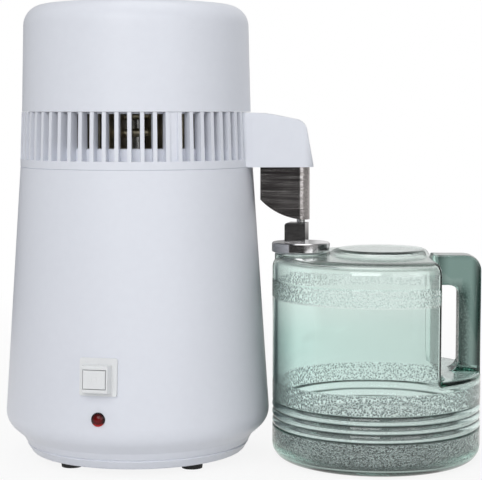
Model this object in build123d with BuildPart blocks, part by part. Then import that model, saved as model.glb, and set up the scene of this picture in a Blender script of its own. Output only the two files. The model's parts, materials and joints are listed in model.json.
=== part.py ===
from build123d import *

import os
from math import acos, atan, cos, degrees, dist, pi, radians, sin, sqrt

os.makedirs("parts", exist_ok=True)

# Countertop water distiller with its glass jug, in millimetres, +Z up.
# The origin lies on the counter, at the middle of the outline that machine and jug cover.

# Fits
play = 0.2
slip = 0.05
screw_r = 1.5
screw_head_r = 2.8
screw_head_h = 2.2
screw_slot = 0.8

# Layout along X, and the line Y that the two axes share. The switch stands out at the front,
# so that line lies a little behind the middle.
axis_y = 5.3
shell_top_r = 98
shell_flare = 14.5
shell_corner_r = shell_top_r + shell_flare
jug_r = 88
jug_gap = 2.5
jug_offset = shell_corner_r + jug_gap + jug_r
mouth_offset = 64.1
machine_x = (shell_corner_r - jug_offset - jug_r) / 2
jug_x = machine_x + jug_offset
mouth_x = jug_x - mouth_offset
outlet_offset = jug_offset - mouth_offset

# Base
foot_h = 7
foot_r = 8.5
foot_flare = 6
foot_inset = 36
foot_recess_r = 4.2
foot_recess_h = 3.5
foot_boss_r = 5
foot_boss_h = 7
pan_floor = 2.5
pan_wall = 2.6
shell_foot_r = shell_top_r
pan_foot_r = shell_foot_r - 7
pan_waist_r = shell_foot_r - 3.5
pan_waist_z = foot_h + 7.5
pan_groove = 0.9
pan_top_z = foot_h + 14
pan_hatch_r = 40
hatch_r = 50
hatch_t = 1.3
hatch_screw_count = 3
hatch_screw_angle = 90
hatch_slot = 3
hatch_slot_count = 5
hatch_slot_pitch = 9
hatch_slot_length = 44
base_screw_offset = shell_foot_r - 12
foot_spacing = 2 * (base_screw_offset - foot_inset)
base_screw_count = 4
base_screw_angle = 45
column_r = 4.5
base_column_top = pan_top_z + 24
web_t = 4

# Boiler casing
shell_corner_z = pan_top_z + 13
shell_corner_fillet = 18
shell_top_z = 247
shell_wall = 2.5

# Pot and heater
pot_r = shell_top_r - 14
pot_wall = 1
pot_floor_z = 58
pot_corner_r = 6
pot_flange_r = pot_r + 10
heater_plate_r = pot_r - 9
heater_plate_t = 6
heater_tube_r = 4
heater_loop_r = 54
heater_gap_angle = 60
heater_pin_r = 1.2
heater_pin_length = 22
heater_sleeve_r = 3
heater_sleeve_length = 10
cutout_r = 8
cutout_h = 10
cutout_rim_r = 12
cutout_rim_t = 1.5
cutout_offset = 30
spade_w = 6.3
spade_t = 0.8
spade_length = 8

# Switch and lamp, on the front of the casing
switch_angle = -100
switch_z = 83.8
bezel_w = 30.5
bezel_h = 29.9
bezel_rise = 1.15
bezel_t = 2
bezel_corner = 1.5
housing_w = 22.4
housing_proud = 10
housing_draft = 3
button_w = 18.2
button_h = 14.6
button_gap = 0.5
button_proud = 1
button_back = 3.5
button_travel = 3
button_edge = 0.8
neck_w = 20.4
neck_depth = 6
switch_body_w = 19
switch_body_depth = 15
stem_r = 3
stem_reach = 10
spring_wire_r = 0.4
spring_r = 4.4
spring_turns = 4
lamp_z = 51.3
lamp_r = 5.6
lamp_rim_t = 1
lamp_dome_h = 2.6
lamp_neck_r = 4
lamp_neck_depth = 10
lamp_nut_r = 7
lamp_nut_t = 2.4
lamp_body_r = 4.6
lamp_body_depth = 14

# Mains inlet and the fan's outlet, on the back of the casing
inlet_angle = 90
inlet_z = 54
recess_depth = 3.7
recess_wall = 2.5
recess_margin = 2
inlet_w = 50
inlet_h = 22.5
inlet_plate_t = 2.5
inlet_body_w = 28
inlet_body_h = 20
inlet_body_depth = 20
inlet_socket_w = 24
inlet_socket_h = 16.5
inlet_socket_depth = 16
inlet_corner = 3
inlet_screw_spacing = 40
pin_t = 2
pin_h = 4
pin_spacing = 14
pin_raise = 4
pin_length = 14
pin_tail = 8
outlet_z = 92
outlet_w = 26
outlet_h = 16
outlet_depth = 14
outlet_hole_r = 1.4
outlet_hole_spacing = 8.6
outlet_hole_depth = 10

# Head: vent ring
band_h = 7
band_top_z = shell_top_z + band_h
slot_h = 39
ring_top_z = band_top_z + slot_h
band_wall = 3.4
seam_groove = 0.7
gasket_h = 2.5
gasket_in_r = pot_r
gasket_out_r = pot_flange_r - 1
dome_t = 0.8
ring_floor_z = shell_top_z + pot_wall + gasket_h + dome_t
ring_floor_r = pot_r - 10
ledge_r = shell_top_r - 8.2
ledge_wall = 2.8
ledge_top_z = band_top_z + 10
rib_t = 3.2
rib_pitch = 6
rib_depth = 10
rib_in_r = shell_top_r - rib_depth
rib_top_r = shell_top_r - 1.5
first_rib_angle = 21
top_ring_in_r = rib_in_r - 4
top_ring_out_r = rib_in_r + 1.5
top_ring_t = 1.5
head_screw_offset = rib_in_r + 1.5
head_screw_angle = 54
head_screw_count = 3
head_screw_length = 54
slot_fill_out_r = shell_top_r - 2.8

# Head: arm over the jug
arm_bottom_z = shell_top_z + 0.4
arm_root_offset = top_ring_in_r - 2
arm_root_w = 61
arm_waist_w = 58
arm_end_w = 45
arm_waist_offset = shell_top_r + 1
arm_end_offset = outlet_offset + 10.6
arm_end_top_offset = outlet_offset + 3.6
arm_nose_z = ring_top_z - 7.5
arm_nose_r = 11
arm_back_r = 60
arm_corner_r = 10
arm_wall = 2.6

# Head: spout shield and outlet tube
shield_w = 32
shield_t = 1.2
shield_nose_offset = outlet_offset + 7.3
shield_nose_r = 9
shield_back_offset = outlet_offset - 33.9
shield_tab_from = outlet_offset - 21
shield_tab_to = outlet_offset - 4
shield_tab_top_z = arm_bottom_z + 15
shield_tip_gap = 3.2
shield_sweep = 16.8
shield_curve_x = 12
shield_curve_drop = 9.5
rivet_offset = outlet_offset - 12.5
rivet_z = arm_bottom_z + 8
rivet_spacing = 9
rivet_r = 1.2
rivet_head_r = 2.6
rivet_head_t = 1
tube_r = 3.5
tube_wall = 0.7
outlet_gap = 0.5
passage_gap = 0.5
outlet_bend_r = 12

# Head: steam dome, condenser and riser
dome_shoulder_r = ring_floor_r - 2
dome_rise_r = dome_shoulder_r - 10
dome_rise_z = ring_floor_z + 5.2
dome_top_z = ring_floor_z + 9.2
dome_neck_z = dome_top_z + 7.5
dome_screw_offset = ring_floor_r + 5
dome_screw_count = 3
dome_screw_angle = 60
dome_boss_r = 4
dome_boss_h = 5
coil_r = dome_rise_r - 2
coil_bottom_z = dome_top_z + 7.5
coil_turns = 4
coil_pitch = 14
riser_bend_r = 10
riser_lead = 20
fin_count = 60
fin_t = 0.6
fin_in_r = dome_rise_r - 16
fin_out_r = ring_floor_r + 8
fin_margin = 6
fin_hole_play = 0.12
fin_gap_before = degrees(acos(coil_r / fin_out_r)) + 7
fin_gap_after = 32

# Head: top cover and fan
cover_rim_z = ring_top_z + 0.2
cover_rim_r = shell_top_r - 1.8
cover_top_r = cover_rim_r - 2.2
cover_h = 91.5
cover_crown = 4
cover_top_z = cover_rim_z + cover_h
cover_side_z = cover_top_z - cover_crown
cover_corner_r = 17.5
cover_wall = 2.5
cover_column_top = cover_rim_z + 27.5
fan_z = cover_top_z - 40
fan_r = 70
fan_hub_r = 18
fan_hub_h = 15
fan_blades = 5
blade_chord = 22
blade_t = 1.6
blade_pitch = 30
shaft_r = 2
shaft_bottom_z = fan_z - 5
shaft_top_z = fan_z + 23
motor_r = 26
motor_bottom_z = fan_z + 11
motor_h = 16
motor_nose_r = 8
motor_nose_h = 2.5
motor_edge = 2
bracket_length = 132
bracket_w = 22
bracket_t = 2
bracket_screw_spacing = 120
motor_screw_spacing = 36
bracket_boss_r = 5
bracket_screw_length = 8
motor_screw_length = 8
head_inlet_z = cover_rim_z + 18.5
head_inlet_w = 22
head_inlet_h = 14
head_inlet_rim = 2
head_inlet_depth = 14
head_socket_w = 16
head_socket_h = 9
head_socket_depth = 10
head_pin_r = 1.2
head_pin_length = 8

# Jug
glass = 4
jug_corner_r = 13
outer_steps = 3
inner_steps = 2
jug_hollow_r = jug_r - 34
jug_hollow_h = 3
jug_floor_t = 6
rib_band_z = 29
rib_band_pitch = 7
rib_band_count = 3
rib_groove = 1.1
rib_crest = 0.2
rib_flank_h = 1.6
jug_shoulder_z = 172.6
jug_shoulder_r = 10
jug_top_z = jug_shoulder_z + 2
plateau_shift = 4
plateau_foot_r = 42
plateau_top_r = 38
plateau_top_z = jug_shoulder_z + 5.7
plateau_edge_r = 7
mouth_neck_r = 22
mouth_neck_z = jug_shoulder_z + 1.6
mouth_r = 17
pocket_offset = jug_r - 38.5
ledge_z = 76
strap_offset = jug_r - 18.5
handle_w = 28
handle_corner_r = 12
handle_top_z = jug_shoulder_z + rib_groove
handle_hole_top_z = jug_shoulder_z - 24
handle_hole_r = 6.5

# Lid
gasket_t = 1
lid_r = 24.4
lid_h = 8.2
lid_edge = 0.8
lid_web = 3
plug_wall = 2
plug_depth = 2
plug_gap = 0.4
water_bore_r = 4.2
block_w = 17.6
block_d = 17
block_h = 16.6
block_turn = -10
block_shift_x = -3.6
block_shift_y = -2
block_edge_r = 2.5
block_screw_spacing = 10
block_screw_length = 9

# Heights that follow from the pieces below them
pan_floor_z = foot_h + pan_floor
pot_flange_z = shell_top_z + pot_wall
gasket_top_z = ring_floor_z - dome_t
heater_plate_z = pot_floor_z - heater_plate_t
lid_z = mouth_neck_z + gasket_t
lid_top_z = lid_z + lid_h
block_top_z = lid_top_z + block_h
shield_tip_z = block_top_z + shield_tip_gap
shield_back_z = shield_tip_z + shield_sweep
outlet_end_z = block_top_z + outlet_gap
motor_top_z = motor_bottom_z + motor_h
bracket_top_z = motor_top_z + bracket_t

# The coil's lower end leaves it on the straight line to the outlet, seen from above.
coil_end_angle = degrees(acos(coil_r / outlet_offset))
coil_slope = coil_pitch / (2 * pi * coil_r)
outlet_run = sqrt(outlet_offset**2 - coil_r**2)


def level(height):
    """Plane across the machine's axis at a height."""
    return Plane((machine_x, axis_y, height))


def jug_level(height):
    """Plane across the jug's axis at a height."""
    return Plane((jug_x, axis_y, height))


def lid_level(height):
    """Plane across the lid's axis at a height."""
    return Plane((mouth_x, axis_y, height))


def shifted(plane, x, y=0):
    """The same plane, moved along its own x and y."""
    return Plane(plane.origin + plane.x_dir * x + plane.y_dir * y, plane.x_dir, plane.z_dir)


def side_of(x):
    """Upright plane through the axis at x, with local x outward and local y up."""
    return Plane((x, axis_y, 0), x_dir=(1, 0, 0), z_dir=(0, -1, 0))


def upright(x):
    """Upright axis at x."""
    return Axis((x, axis_y, 0), (0, 0, 1))


def turn(x, points, mode=Mode.ADD):
    """Turn an outline of (radius, height) points about the upright axis at x."""
    with BuildSketch(side_of(x)) as outline:
        Polygon(*points, align=None)
    revolve(outline.sketch, axis=upright(x), mode=mode)


def plate(plane, radius, height, mode=Mode.ADD):
    """Round plate or hole on a plane."""
    with BuildSketch(plane) as disc:
        Circle(radius)
    extrude(disc.sketch, amount=height, mode=mode)


def block(plane, width, depth, height, mode=Mode.ADD):
    """Rectangular block or hole on a plane."""
    with BuildSketch(plane) as outline:
        Rectangle(width, depth)
    extrude(outline.sketch, amount=height, mode=mode)


def ring_places(radius, count, start, height):
    """Planes at equal angles round the machine's axis, with local x outward."""
    places = []
    for number in range(count):
        angle = radians(start + 360 * number / count)
        outward = (cos(angle), sin(angle), 0)
        origin = (machine_x + radius * outward[0], axis_y + radius * outward[1], height)
        places.append(Plane(origin, x_dir=outward, z_dir=(0, 0, 1)))
    return places


def shell_r(height):
    """Radius of the casing's straight side at a height."""
    share = (height - shell_corner_z) / (shell_top_z - shell_corner_z)
    return shell_corner_r + (shell_top_r - shell_corner_r) * share


def wall_place(angle, height):
    """Plane on the casing's side, local z outward and local y up the wall."""
    lean = atan((shell_corner_r - shell_top_r) / (shell_top_z - shell_corner_z))
    turn_angle = radians(angle)
    outward = (cos(turn_angle) * cos(lean), sin(turn_angle) * cos(lean), sin(lean))
    radius = shell_r(height)
    origin = (machine_x + radius * cos(turn_angle), axis_y + radius * sin(turn_angle), height)
    return Plane(origin, x_dir=(-sin(turn_angle), cos(turn_angle), 0), z_dir=outward)


def pan_head_screw(plane, length, head_r=screw_head_r, head_h=screw_head_h, shank_r=screw_r):
    """Screw whose head stands on the plane and whose shank runs down below it."""
    plate(plane, head_r, head_h)
    plate(plane, shank_r, -length)
    slot_plane = plane.offset(head_h)
    block(slot_plane, 1.3 * head_r, screw_slot, -head_h / 2, mode=Mode.SUBTRACT)
    block(slot_plane, screw_slot, 1.3 * head_r, -head_h / 2, mode=Mode.SUBTRACT)


def facing_down(plane):
    """The same place, turned over."""
    return Plane(plane.origin, x_dir=plane.x_dir, z_dir=-plane.z_dir)


def casing_outline(inset, foot_z, top_z):
    """Turn the casing's side line, moved inward, into a solid of revolution."""
    with BuildSketch(side_of(machine_x)) as outline:
        with BuildLine():
            foot = (shell_foot_r - inset, foot_z)
            corner = (shell_corner_r - inset, shell_corner_z)
            top = (shell_r(top_z) - inset, top_z)
            side = FilletPolyline(foot, corner, top, radius=shell_corner_fillet - inset)
            Polyline(side @ 1, (0, top_z), (0, foot_z), foot)
        make_face()
    revolve(outline.sketch, axis=upright(machine_x))


# Solid of the casing's outer shape, which trims what sits on it
with BuildPart() as casing_envelope:
    casing_outline(0, pan_top_z, shell_top_z)

with BuildPart() as casing_space:
    casing_outline(shell_wall, pan_top_z, shell_top_z - shell_wall)

# Feet and base pan
foot_places = []
for foot_x in (-foot_spacing / 2, foot_spacing / 2):
    for foot_y in (-foot_spacing / 2, foot_spacing / 2):
        foot_places.append(shifted(level(0), foot_x, foot_y))

with BuildPart() as feet:
    for place in foot_places:
        with BuildSketch(place) as pad:
            Circle(foot_r)
        extrude(pad.sketch, amount=foot_h, taper=-foot_flare)
        plate(place, foot_recess_r, foot_recess_h, mode=Mode.SUBTRACT)
        plate(place, screw_r + slip, foot_h, mode=Mode.SUBTRACT)
feet.part.label = "feet"
export_step(feet.part, "parts/feet.step")

with BuildPart() as foot_screws:
    for place in foot_places:
        pan_head_screw(facing_down(place.offset(foot_recess_h)), foot_boss_h + pan_floor)
foot_screws.part.label = "foot_screws"
export_step(foot_screws.part, "parts/foot_screws.step")

base_screw_places = ring_places(base_screw_offset, base_screw_count, base_screw_angle, foot_h)
hatch_screw_offset = (pan_hatch_r + hatch_r) / 2
hatch_screw_places = ring_places(hatch_screw_offset, hatch_screw_count, hatch_screw_angle, foot_h)

with BuildPart() as base_pan:
    turn(machine_x, [
        (pan_hatch_r, foot_h),
        (pan_foot_r - 1, foot_h),
        (pan_foot_r, foot_h + 1),
        (pan_waist_r, pan_waist_z - pan_groove),
        (pan_waist_r - pan_groove, pan_waist_z),
        (pan_waist_r + pan_groove / 2, pan_waist_z + pan_groove),
        (shell_foot_r, pan_top_z),
        (shell_foot_r - pan_wall, pan_top_z),
        (pan_waist_r - pan_groove - pan_wall, pan_waist_z),
        (pan_foot_r - pan_wall, pan_floor_z),
        (pan_hatch_r, pan_floor_z),
    ])
    for place in foot_places:
        plate(place.offset(pan_floor_z), foot_boss_r, foot_boss_h)
        plate(place.offset(foot_h), screw_r + slip, pan_floor + foot_boss_h, mode=Mode.SUBTRACT)
    for place in base_screw_places:
        plate(place, column_r, pan_top_z - foot_h)
        plate(place, screw_head_r + play, screw_head_h + play, mode=Mode.SUBTRACT)
        plate(place, screw_r + slip, pan_top_z - foot_h, mode=Mode.SUBTRACT)
    plate(level(foot_h), hatch_r + play, hatch_t, mode=Mode.SUBTRACT)
    for place in hatch_screw_places:
        plate(place.offset(pan_floor), column_r, foot_boss_h - pan_floor)
        plate(place, screw_r + slip, foot_boss_h, mode=Mode.SUBTRACT)
base_pan.part.label = "base_pan"
export_step(base_pan.part, "parts/base_pan.step")

with BuildPart() as base_screws:
    for place in base_screw_places:
        pan_head_screw(facing_down(place.offset(screw_head_h + play)), pan_top_z)
base_screws.part.label = "base_screws"
export_step(base_screws.part, "parts/base_screws.step")

with BuildPart() as bottom_cover:
    plate(level(foot_h), hatch_r, hatch_t)
    with BuildSketch(level(foot_h)):
        with GridLocations(0, hatch_slot_pitch, 1, hatch_slot_count):
            SlotOverall(hatch_slot_length, hatch_slot)
    extrude(amount=hatch_t, mode=Mode.SUBTRACT)
    for place in hatch_screw_places:
        plate(place, screw_r + slip, hatch_t, mode=Mode.SUBTRACT)
bottom_cover.part.label = "bottom_cover"
export_step(bottom_cover.part, "parts/bottom_cover.step")

with BuildPart() as bottom_cover_screws:
    for place in hatch_screw_places:
        pan_head_screw(facing_down(place), foot_boss_h - 1)
bottom_cover_screws.part.label = "bottom_cover_screws"
export_step(bottom_cover_screws.part, "parts/bottom_cover_screws.step")

# Boiler casing
switch_place = wall_place(switch_angle, switch_z)
lamp_place = wall_place(switch_angle, lamp_z)
inlet_place = wall_place(inlet_angle, inlet_z)
outlet_place = wall_place(inlet_angle, outlet_z)
inlet_recess = (inlet_w + 2 * recess_margin, inlet_h + 2 * recess_margin)
outlet_recess = (outlet_w + 2 * recess_margin, outlet_h + 2 * recess_margin)
recess_pad = 2 * recess_wall

column_places = ring_places(base_screw_offset, base_screw_count, base_screw_angle, pan_top_z)

with BuildPart() as casing_pads:
    pad_bottom = -recess_depth - recess_wall
    for place, recess in ((inlet_place, inlet_recess), (outlet_place, outlet_recess)):
        block(place.offset(pad_bottom), recess[0] + recess_pad, recess[1] + recess_pad, -pad_bottom)
    for place in column_places:
        plate(place, column_r, base_column_top - pan_top_z)
        block(shifted(place, 3 * column_r), 6 * column_r, web_t, base_column_top - pan_top_z)
    add(casing_envelope.part, mode=Mode.INTERSECT)

with BuildPart() as boiler_shell:
    add(casing_envelope.part)
    add(casing_space.part, mode=Mode.SUBTRACT)
    plate(level(shell_top_z), pot_r + play, -shell_wall, mode=Mode.SUBTRACT)
    add(casing_pads.part)
    for place in column_places:
        plate(place, screw_r + slip, base_column_top - pan_top_z - column_r, mode=Mode.SUBTRACT)
    neck_hole = neck_w + play
    block(switch_place.offset(-neck_depth), neck_hole, neck_hole, 2 * neck_depth, mode=Mode.SUBTRACT)
    plate(lamp_place.offset(-lamp_neck_depth), lamp_neck_r + slip, 2 * lamp_neck_depth, mode=Mode.SUBTRACT)
    for place, recess in ((inlet_place, inlet_recess), (outlet_place, outlet_recess)):
        block(place.offset(-recess_depth), *recess, 2 * recess_depth, mode=Mode.SUBTRACT)
    pocket = inlet_place.offset(-recess_depth)
    block(pocket, inlet_body_w + play, inlet_body_h + play, -2 * recess_wall, mode=Mode.SUBTRACT)
    for side in (-1, 1):
        screw_place = shifted(pocket, side * inlet_screw_spacing / 2)
        plate(screw_place, screw_r + slip, -2 * recess_wall, mode=Mode.SUBTRACT)
    pocket = outlet_place.offset(-recess_depth)
    lug_hole = (outlet_w - 2 * recess_margin, outlet_h - 2 * recess_margin)
    block(pocket, *lug_hole, -2 * recess_wall, mode=Mode.SUBTRACT)
boiler_shell.part.label = "boiler_shell"
export_step(boiler_shell.part, "parts/boiler_shell.step")

# Pot and what heats it
with BuildPart() as inner_pot:
    with BuildSketch(side_of(machine_x)) as outline:
        Polygon(
            (0, pot_floor_z),
            (pot_r, pot_floor_z),
            (pot_r, shell_top_z),
            (pot_flange_r, shell_top_z),
            (pot_flange_r, pot_flange_z),
            (pot_r - pot_wall, pot_flange_z),
            (pot_r - pot_wall, pot_floor_z + pot_wall),
            (0, pot_floor_z + pot_wall),
            align=None,
        )
        fillet(outline.vertices().sort_by_distance((pot_r, pot_floor_z))[0], pot_corner_r)
        inner_corner = (pot_r - pot_wall, pot_floor_z + pot_wall)
        fillet(outline.vertices().sort_by_distance(inner_corner)[0], pot_corner_r - pot_wall)
    revolve(outline.sketch, axis=upright(machine_x))
inner_pot.part.label = "inner_pot"
export_step(inner_pot.part, "parts/inner_pot.step")

with BuildPart() as heater_plate:
    plate(level(heater_plate_z), heater_plate_r, heater_plate_t)
    chamfer(heater_plate.edges(), 1)
heater_plate.part.label = "heater_plate"
export_step(heater_plate.part, "parts/heater_plate.step")

heater_loop_z = heater_plate_z - heater_tube_r - slip
heater_loop_start = 180 + heater_gap_angle / 2
heater_loop_angle = 360 - heater_gap_angle

with BuildPart() as heater_tube:
    with BuildLine(level(heater_loop_z)) as loop:
        CenterArc((0, 0), heater_loop_r, heater_loop_start, heater_loop_angle)
    with BuildSketch(Plane(loop.line @ 0, z_dir=loop.line % 0)):
        Circle(heater_tube_r)
    sweep()
heater_tube.part.label = "heater_tube"
export_step(heater_tube.part, "parts/heater_tube.step")

with BuildPart() as heater_terminals:
    for end, way in ((0, -1), (1, 1)):
        place = Plane(loop.line @ end, z_dir=(loop.line % end) * way)
        plate(place, heater_sleeve_r, heater_sleeve_length)
        plate(place, heater_pin_r, heater_pin_length)
heater_terminals.part.label = "heater_terminals"
export_step(heater_terminals.part, "parts/heater_terminals.step")


def cut_out(place):
    """Disc thermostat under the plate: rim, body and two spade terminals."""
    plate(place, cutout_rim_r, -cutout_rim_t)
    plate(place, cutout_r, -cutout_h)
    for side in (-1, 1):
        spade_origin = place.origin + place.x_dir * side * cutout_r / 2
        spade_place = Plane(spade_origin, place.x_dir, place.z_dir).offset(-cutout_h)
        block(spade_place, spade_t, spade_w, -spade_length)


with BuildPart() as thermostat:
    cut_out(level(heater_plate_z))
thermostat.part.label = "thermostat"
export_step(thermostat.part, "parts/thermostat.step")

with BuildPart() as thermal_cutout:
    cut_out(shifted(level(heater_plate_z), cutout_offset))
thermal_cutout.part.label = "thermal_cutout"
export_step(thermal_cutout.part, "parts/thermal_cutout.step")

# Switch: bezel with its raised housing, button, spring and contact block
with BuildPart() as switch_bezel:
    with BuildSketch(shifted(switch_place, 0, bezel_rise).offset(-bezel_t)) as flange:
        RectangleRounded(bezel_w, bezel_h, bezel_corner)
    extrude(flange.sketch, amount=2 * bezel_t)
    add(casing_envelope.part, mode=Mode.SUBTRACT)
    with BuildSketch(switch_place.offset(bezel_t)) as housing:
        Rectangle(housing_w, housing_w)
    extrude(housing.sketch, amount=housing_proud, taper=housing_draft)
    rims = switch_bezel.faces().sort_by(Axis(switch_place.origin, switch_place.z_dir))
    fillet(rims[-1].edges(), button_edge)
    block(switch_place.offset(-neck_depth), neck_w, neck_w, neck_depth + bezel_t)
    block(
        switch_place.offset(-neck_depth),
        button_w + 2 * button_gap,
        button_h + 2 * button_gap,
        neck_depth + bezel_t + housing_proud,
        mode=Mode.SUBTRACT,
    )
switch_bezel.part.label = "switch_bezel"
export_step(switch_bezel.part, "parts/switch_bezel.step")

button_front = bezel_t + housing_proud + button_proud
with BuildPart() as start_button:
    block(switch_place.offset(button_back), button_w, button_h, button_front - button_back)
    front = start_button.faces().sort_by(Axis(switch_place.origin, switch_place.z_dir))[-1]
    fillet(front.edges(), button_edge)
    plate(switch_place.offset(button_back), stem_r, -(button_back + neck_depth + stem_reach))
start_button.part.label = "start_button"
export_step(start_button.part, "parts/start_button.step")

switch_front = switch_place.offset(-neck_depth)
with BuildPart() as switch_body:
    block(switch_front, switch_body_w, switch_body_w, -switch_body_depth)
    plate(switch_front, stem_r + slip, -(stem_reach + button_travel + 1), mode=Mode.SUBTRACT)
switch_body.part.label = "switch_body"
export_step(switch_body.part, "parts/switch_body.step")

with BuildPart() as switch_terminals:
    under = switch_front.offset(-switch_body_depth / 2)
    for side in (-1, 1):
        foot = under.origin - under.y_dir * switch_body_w / 2 + under.x_dir * side * spade_w
        block(Plane(foot, under.x_dir, -under.y_dir), spade_t, spade_w, spade_length)
switch_terminals.part.label = "switch_terminals"
export_step(switch_terminals.part, "parts/switch_terminals.step")


def helix_points(radius, bottom_angle, bottom, pitch, turns):
    """Points and directions at each quarter turn of a rising helix on the local Z axis."""
    stations = []
    for quarter in range(4 * turns + 1):
        angle = radians(bottom_angle) + quarter * pi / 2
        point = Vector(radius * cos(angle), radius * sin(angle), bottom + pitch * quarter / 4)
        way = Vector(-radius * sin(angle), radius * cos(angle), pitch / (2 * pi)).normalized()
        stations.append((point, way))
    return stations


def helix_arcs(stations):
    """Join the stations by pairs of arcs that share their tangent where they meet."""
    for (start, start_way), (end, end_way) in zip(stations, stations[1:]):
        across = end - start
        ways = start_way + end_way
        a = 2 * (start_way.dot(end_way) - 1)
        b = -2 * across.dot(ways)
        reach = (-b - sqrt(b * b - 4 * a * across.dot(across))) / (2 * a)
        first = start + start_way * reach
        second = end - end_way * reach
        middle = (first + second) / 2
        TangentArc(start, middle, tangent=start_way)
        TangentArc(middle, end, tangent=second - first)


def least_self_gap(stations, wire_r, turns):
    """Least distance between two turns of the tube, measured on sampled points."""
    axis_r = sqrt(stations[0][0].X ** 2 + stations[0][0].Y ** 2)
    climb = stations[-1][0].Z - stations[0][0].Z
    steps = 36 * turns
    points = []
    for step in range(steps + 1):
        angle = 2 * pi * turns * step / steps
        points.append((axis_r * cos(angle), axis_r * sin(angle), climb * step / steps))
    least = climb
    for number, point in enumerate(points):
        for other in points[number + 18:]:
            least = min(least, dist(point, other))
    return least - 2 * wire_r


spring_length = button_back + neck_depth
spring_pitch = (spring_length - 2 * spring_wire_r - 2 * slip) / spring_turns
spring_stations = helix_points(spring_r, 0, spring_wire_r + slip, spring_pitch, spring_turns)
with BuildPart() as spring_coil:
    with BuildLine():
        helix_arcs(spring_stations)
    with BuildSketch(Plane(spring_stations[0][0], z_dir=spring_stations[0][1])):
        Circle(spring_wire_r)
    sweep()
with BuildPart() as button_spring:
    add(switch_front.location * spring_coil.part)
button_spring.part.label = "button_spring"
export_step(button_spring.part, "parts/button_spring.step")
spring_gap = least_self_gap(spring_stations, spring_wire_r, spring_turns)
print("least gap between the spring's turns:", round(spring_gap, 2))

# Pilot lamp
with BuildPart() as lamp_lens:
    plate(lamp_place.offset(-lamp_rim_t), lamp_r, 2 * lamp_rim_t)
    add(casing_envelope.part, mode=Mode.SUBTRACT)
    dome_ball_r = (lamp_r**2 + lamp_dome_h**2) / (2 * lamp_dome_h)
    dome_base = lamp_place.offset(lamp_rim_t)
    dome_shoulder = lamp_r * sin(pi / 4)
    dome_shoulder_h = lamp_dome_h - dome_ball_r + sqrt(dome_ball_r**2 - dome_shoulder**2)
    with BuildSketch(Plane(dome_base.origin, dome_base.x_dir, -dome_base.y_dir)) as dome:
        with BuildLine():
            ThreePointArc((0, lamp_dome_h), (dome_shoulder, dome_shoulder_h), (lamp_r, 0))
            Polyline((lamp_r, 0), (0, 0), (0, lamp_dome_h))
        make_face()
    revolve(dome.sketch, axis=Axis(lamp_place.origin, lamp_place.z_dir))
    plate(lamp_place.offset(lamp_rim_t), lamp_neck_r, -(lamp_rim_t + lamp_neck_depth))
lamp_lens.part.label = "lamp_lens"
export_step(lamp_lens.part, "parts/lamp_lens.step")

with BuildPart() as lamp_nut:
    with BuildSketch(lamp_place.offset(-shell_wall - play)):
        RegularPolygon(lamp_nut_r, 6)
        Circle(lamp_neck_r + slip, mode=Mode.SUBTRACT)
    extrude(amount=-lamp_nut_t)
lamp_nut.part.label = "lamp_nut"
export_step(lamp_nut.part, "parts/lamp_nut.step")

with BuildPart() as lamp_body:
    plate(lamp_place.offset(-lamp_neck_depth), lamp_body_r, -lamp_body_depth)
lamp_body.part.label = "lamp_body"
export_step(lamp_body.part, "parts/lamp_body.step")

# Mains inlet, its pins and screws, and the outlet for the fan's lead
inlet_face = inlet_place.offset(-recess_depth)

pin_seats = [(-pin_spacing / 2, -1), (0, pin_raise - 1), (pin_spacing / 2, -1)]
socket_floor = inlet_face.offset(inlet_plate_t - inlet_socket_depth)
with BuildPart() as mains_inlet:
    with BuildSketch(inlet_face) as flange:
        RectangleRounded(inlet_w, inlet_h, inlet_corner)
    extrude(flange.sketch, amount=inlet_plate_t)
    block(inlet_face, inlet_body_w, inlet_body_h, -inlet_body_depth)
    with BuildSketch(socket_floor) as socket:
        RectangleRounded(inlet_socket_w, inlet_socket_h, inlet_corner)
    extrude(socket.sketch, amount=inlet_socket_depth, mode=Mode.SUBTRACT)
    for side in (-1, 1):
        screw_place = shifted(inlet_face, side * inlet_screw_spacing / 2)
        plate(screw_place, screw_r + slip, inlet_plate_t, mode=Mode.SUBTRACT)
    for x, y in pin_seats:
        block(shifted(socket_floor, x, y), pin_t, pin_h, -inlet_body_depth, mode=Mode.SUBTRACT)
mains_inlet.part.label = "mains_inlet"
export_step(mains_inlet.part, "parts/mains_inlet.step")

with BuildPart() as inlet_pins:
    pin_back = inlet_body_depth + inlet_plate_t - inlet_socket_depth + pin_tail
    for x, y in pin_seats:
        seat = shifted(socket_floor, x, y)
        block(seat.offset(-pin_back), pin_t - 2 * slip, pin_h - 2 * slip, pin_back + pin_length)
inlet_pins.part.label = "inlet_pins"
export_step(inlet_pins.part, "parts/inlet_pins.step")

with BuildPart() as inlet_screws:
    for side in (-1, 1):
        seat = shifted(inlet_face, side * inlet_screw_spacing / 2)
        pan_head_screw(seat.offset(inlet_plate_t), inlet_plate_t + 2 * recess_wall)
inlet_screws.part.label = "inlet_screws"
export_step(inlet_screws.part, "parts/inlet_screws.step")

outlet_face = outlet_place.offset(-recess_depth)
with BuildPart() as fan_outlet:
    block(outlet_face, outlet_w, outlet_h, inlet_plate_t)
    fillet(fan_outlet.edges().filter_by(Axis(outlet_face.origin, outlet_face.z_dir)), recess_margin)
    block(outlet_face, lug_hole[0] - play, lug_hole[1] - play, -outlet_depth)
    for side in (-1, 1):
        seat = shifted(outlet_face.offset(inlet_plate_t), side * outlet_hole_spacing / 2)
        plate(seat, outlet_hole_r, -outlet_hole_depth, mode=Mode.SUBTRACT)
fan_outlet.part.label = "fan_outlet"
export_step(fan_outlet.part, "parts/fan_outlet.step")

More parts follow.
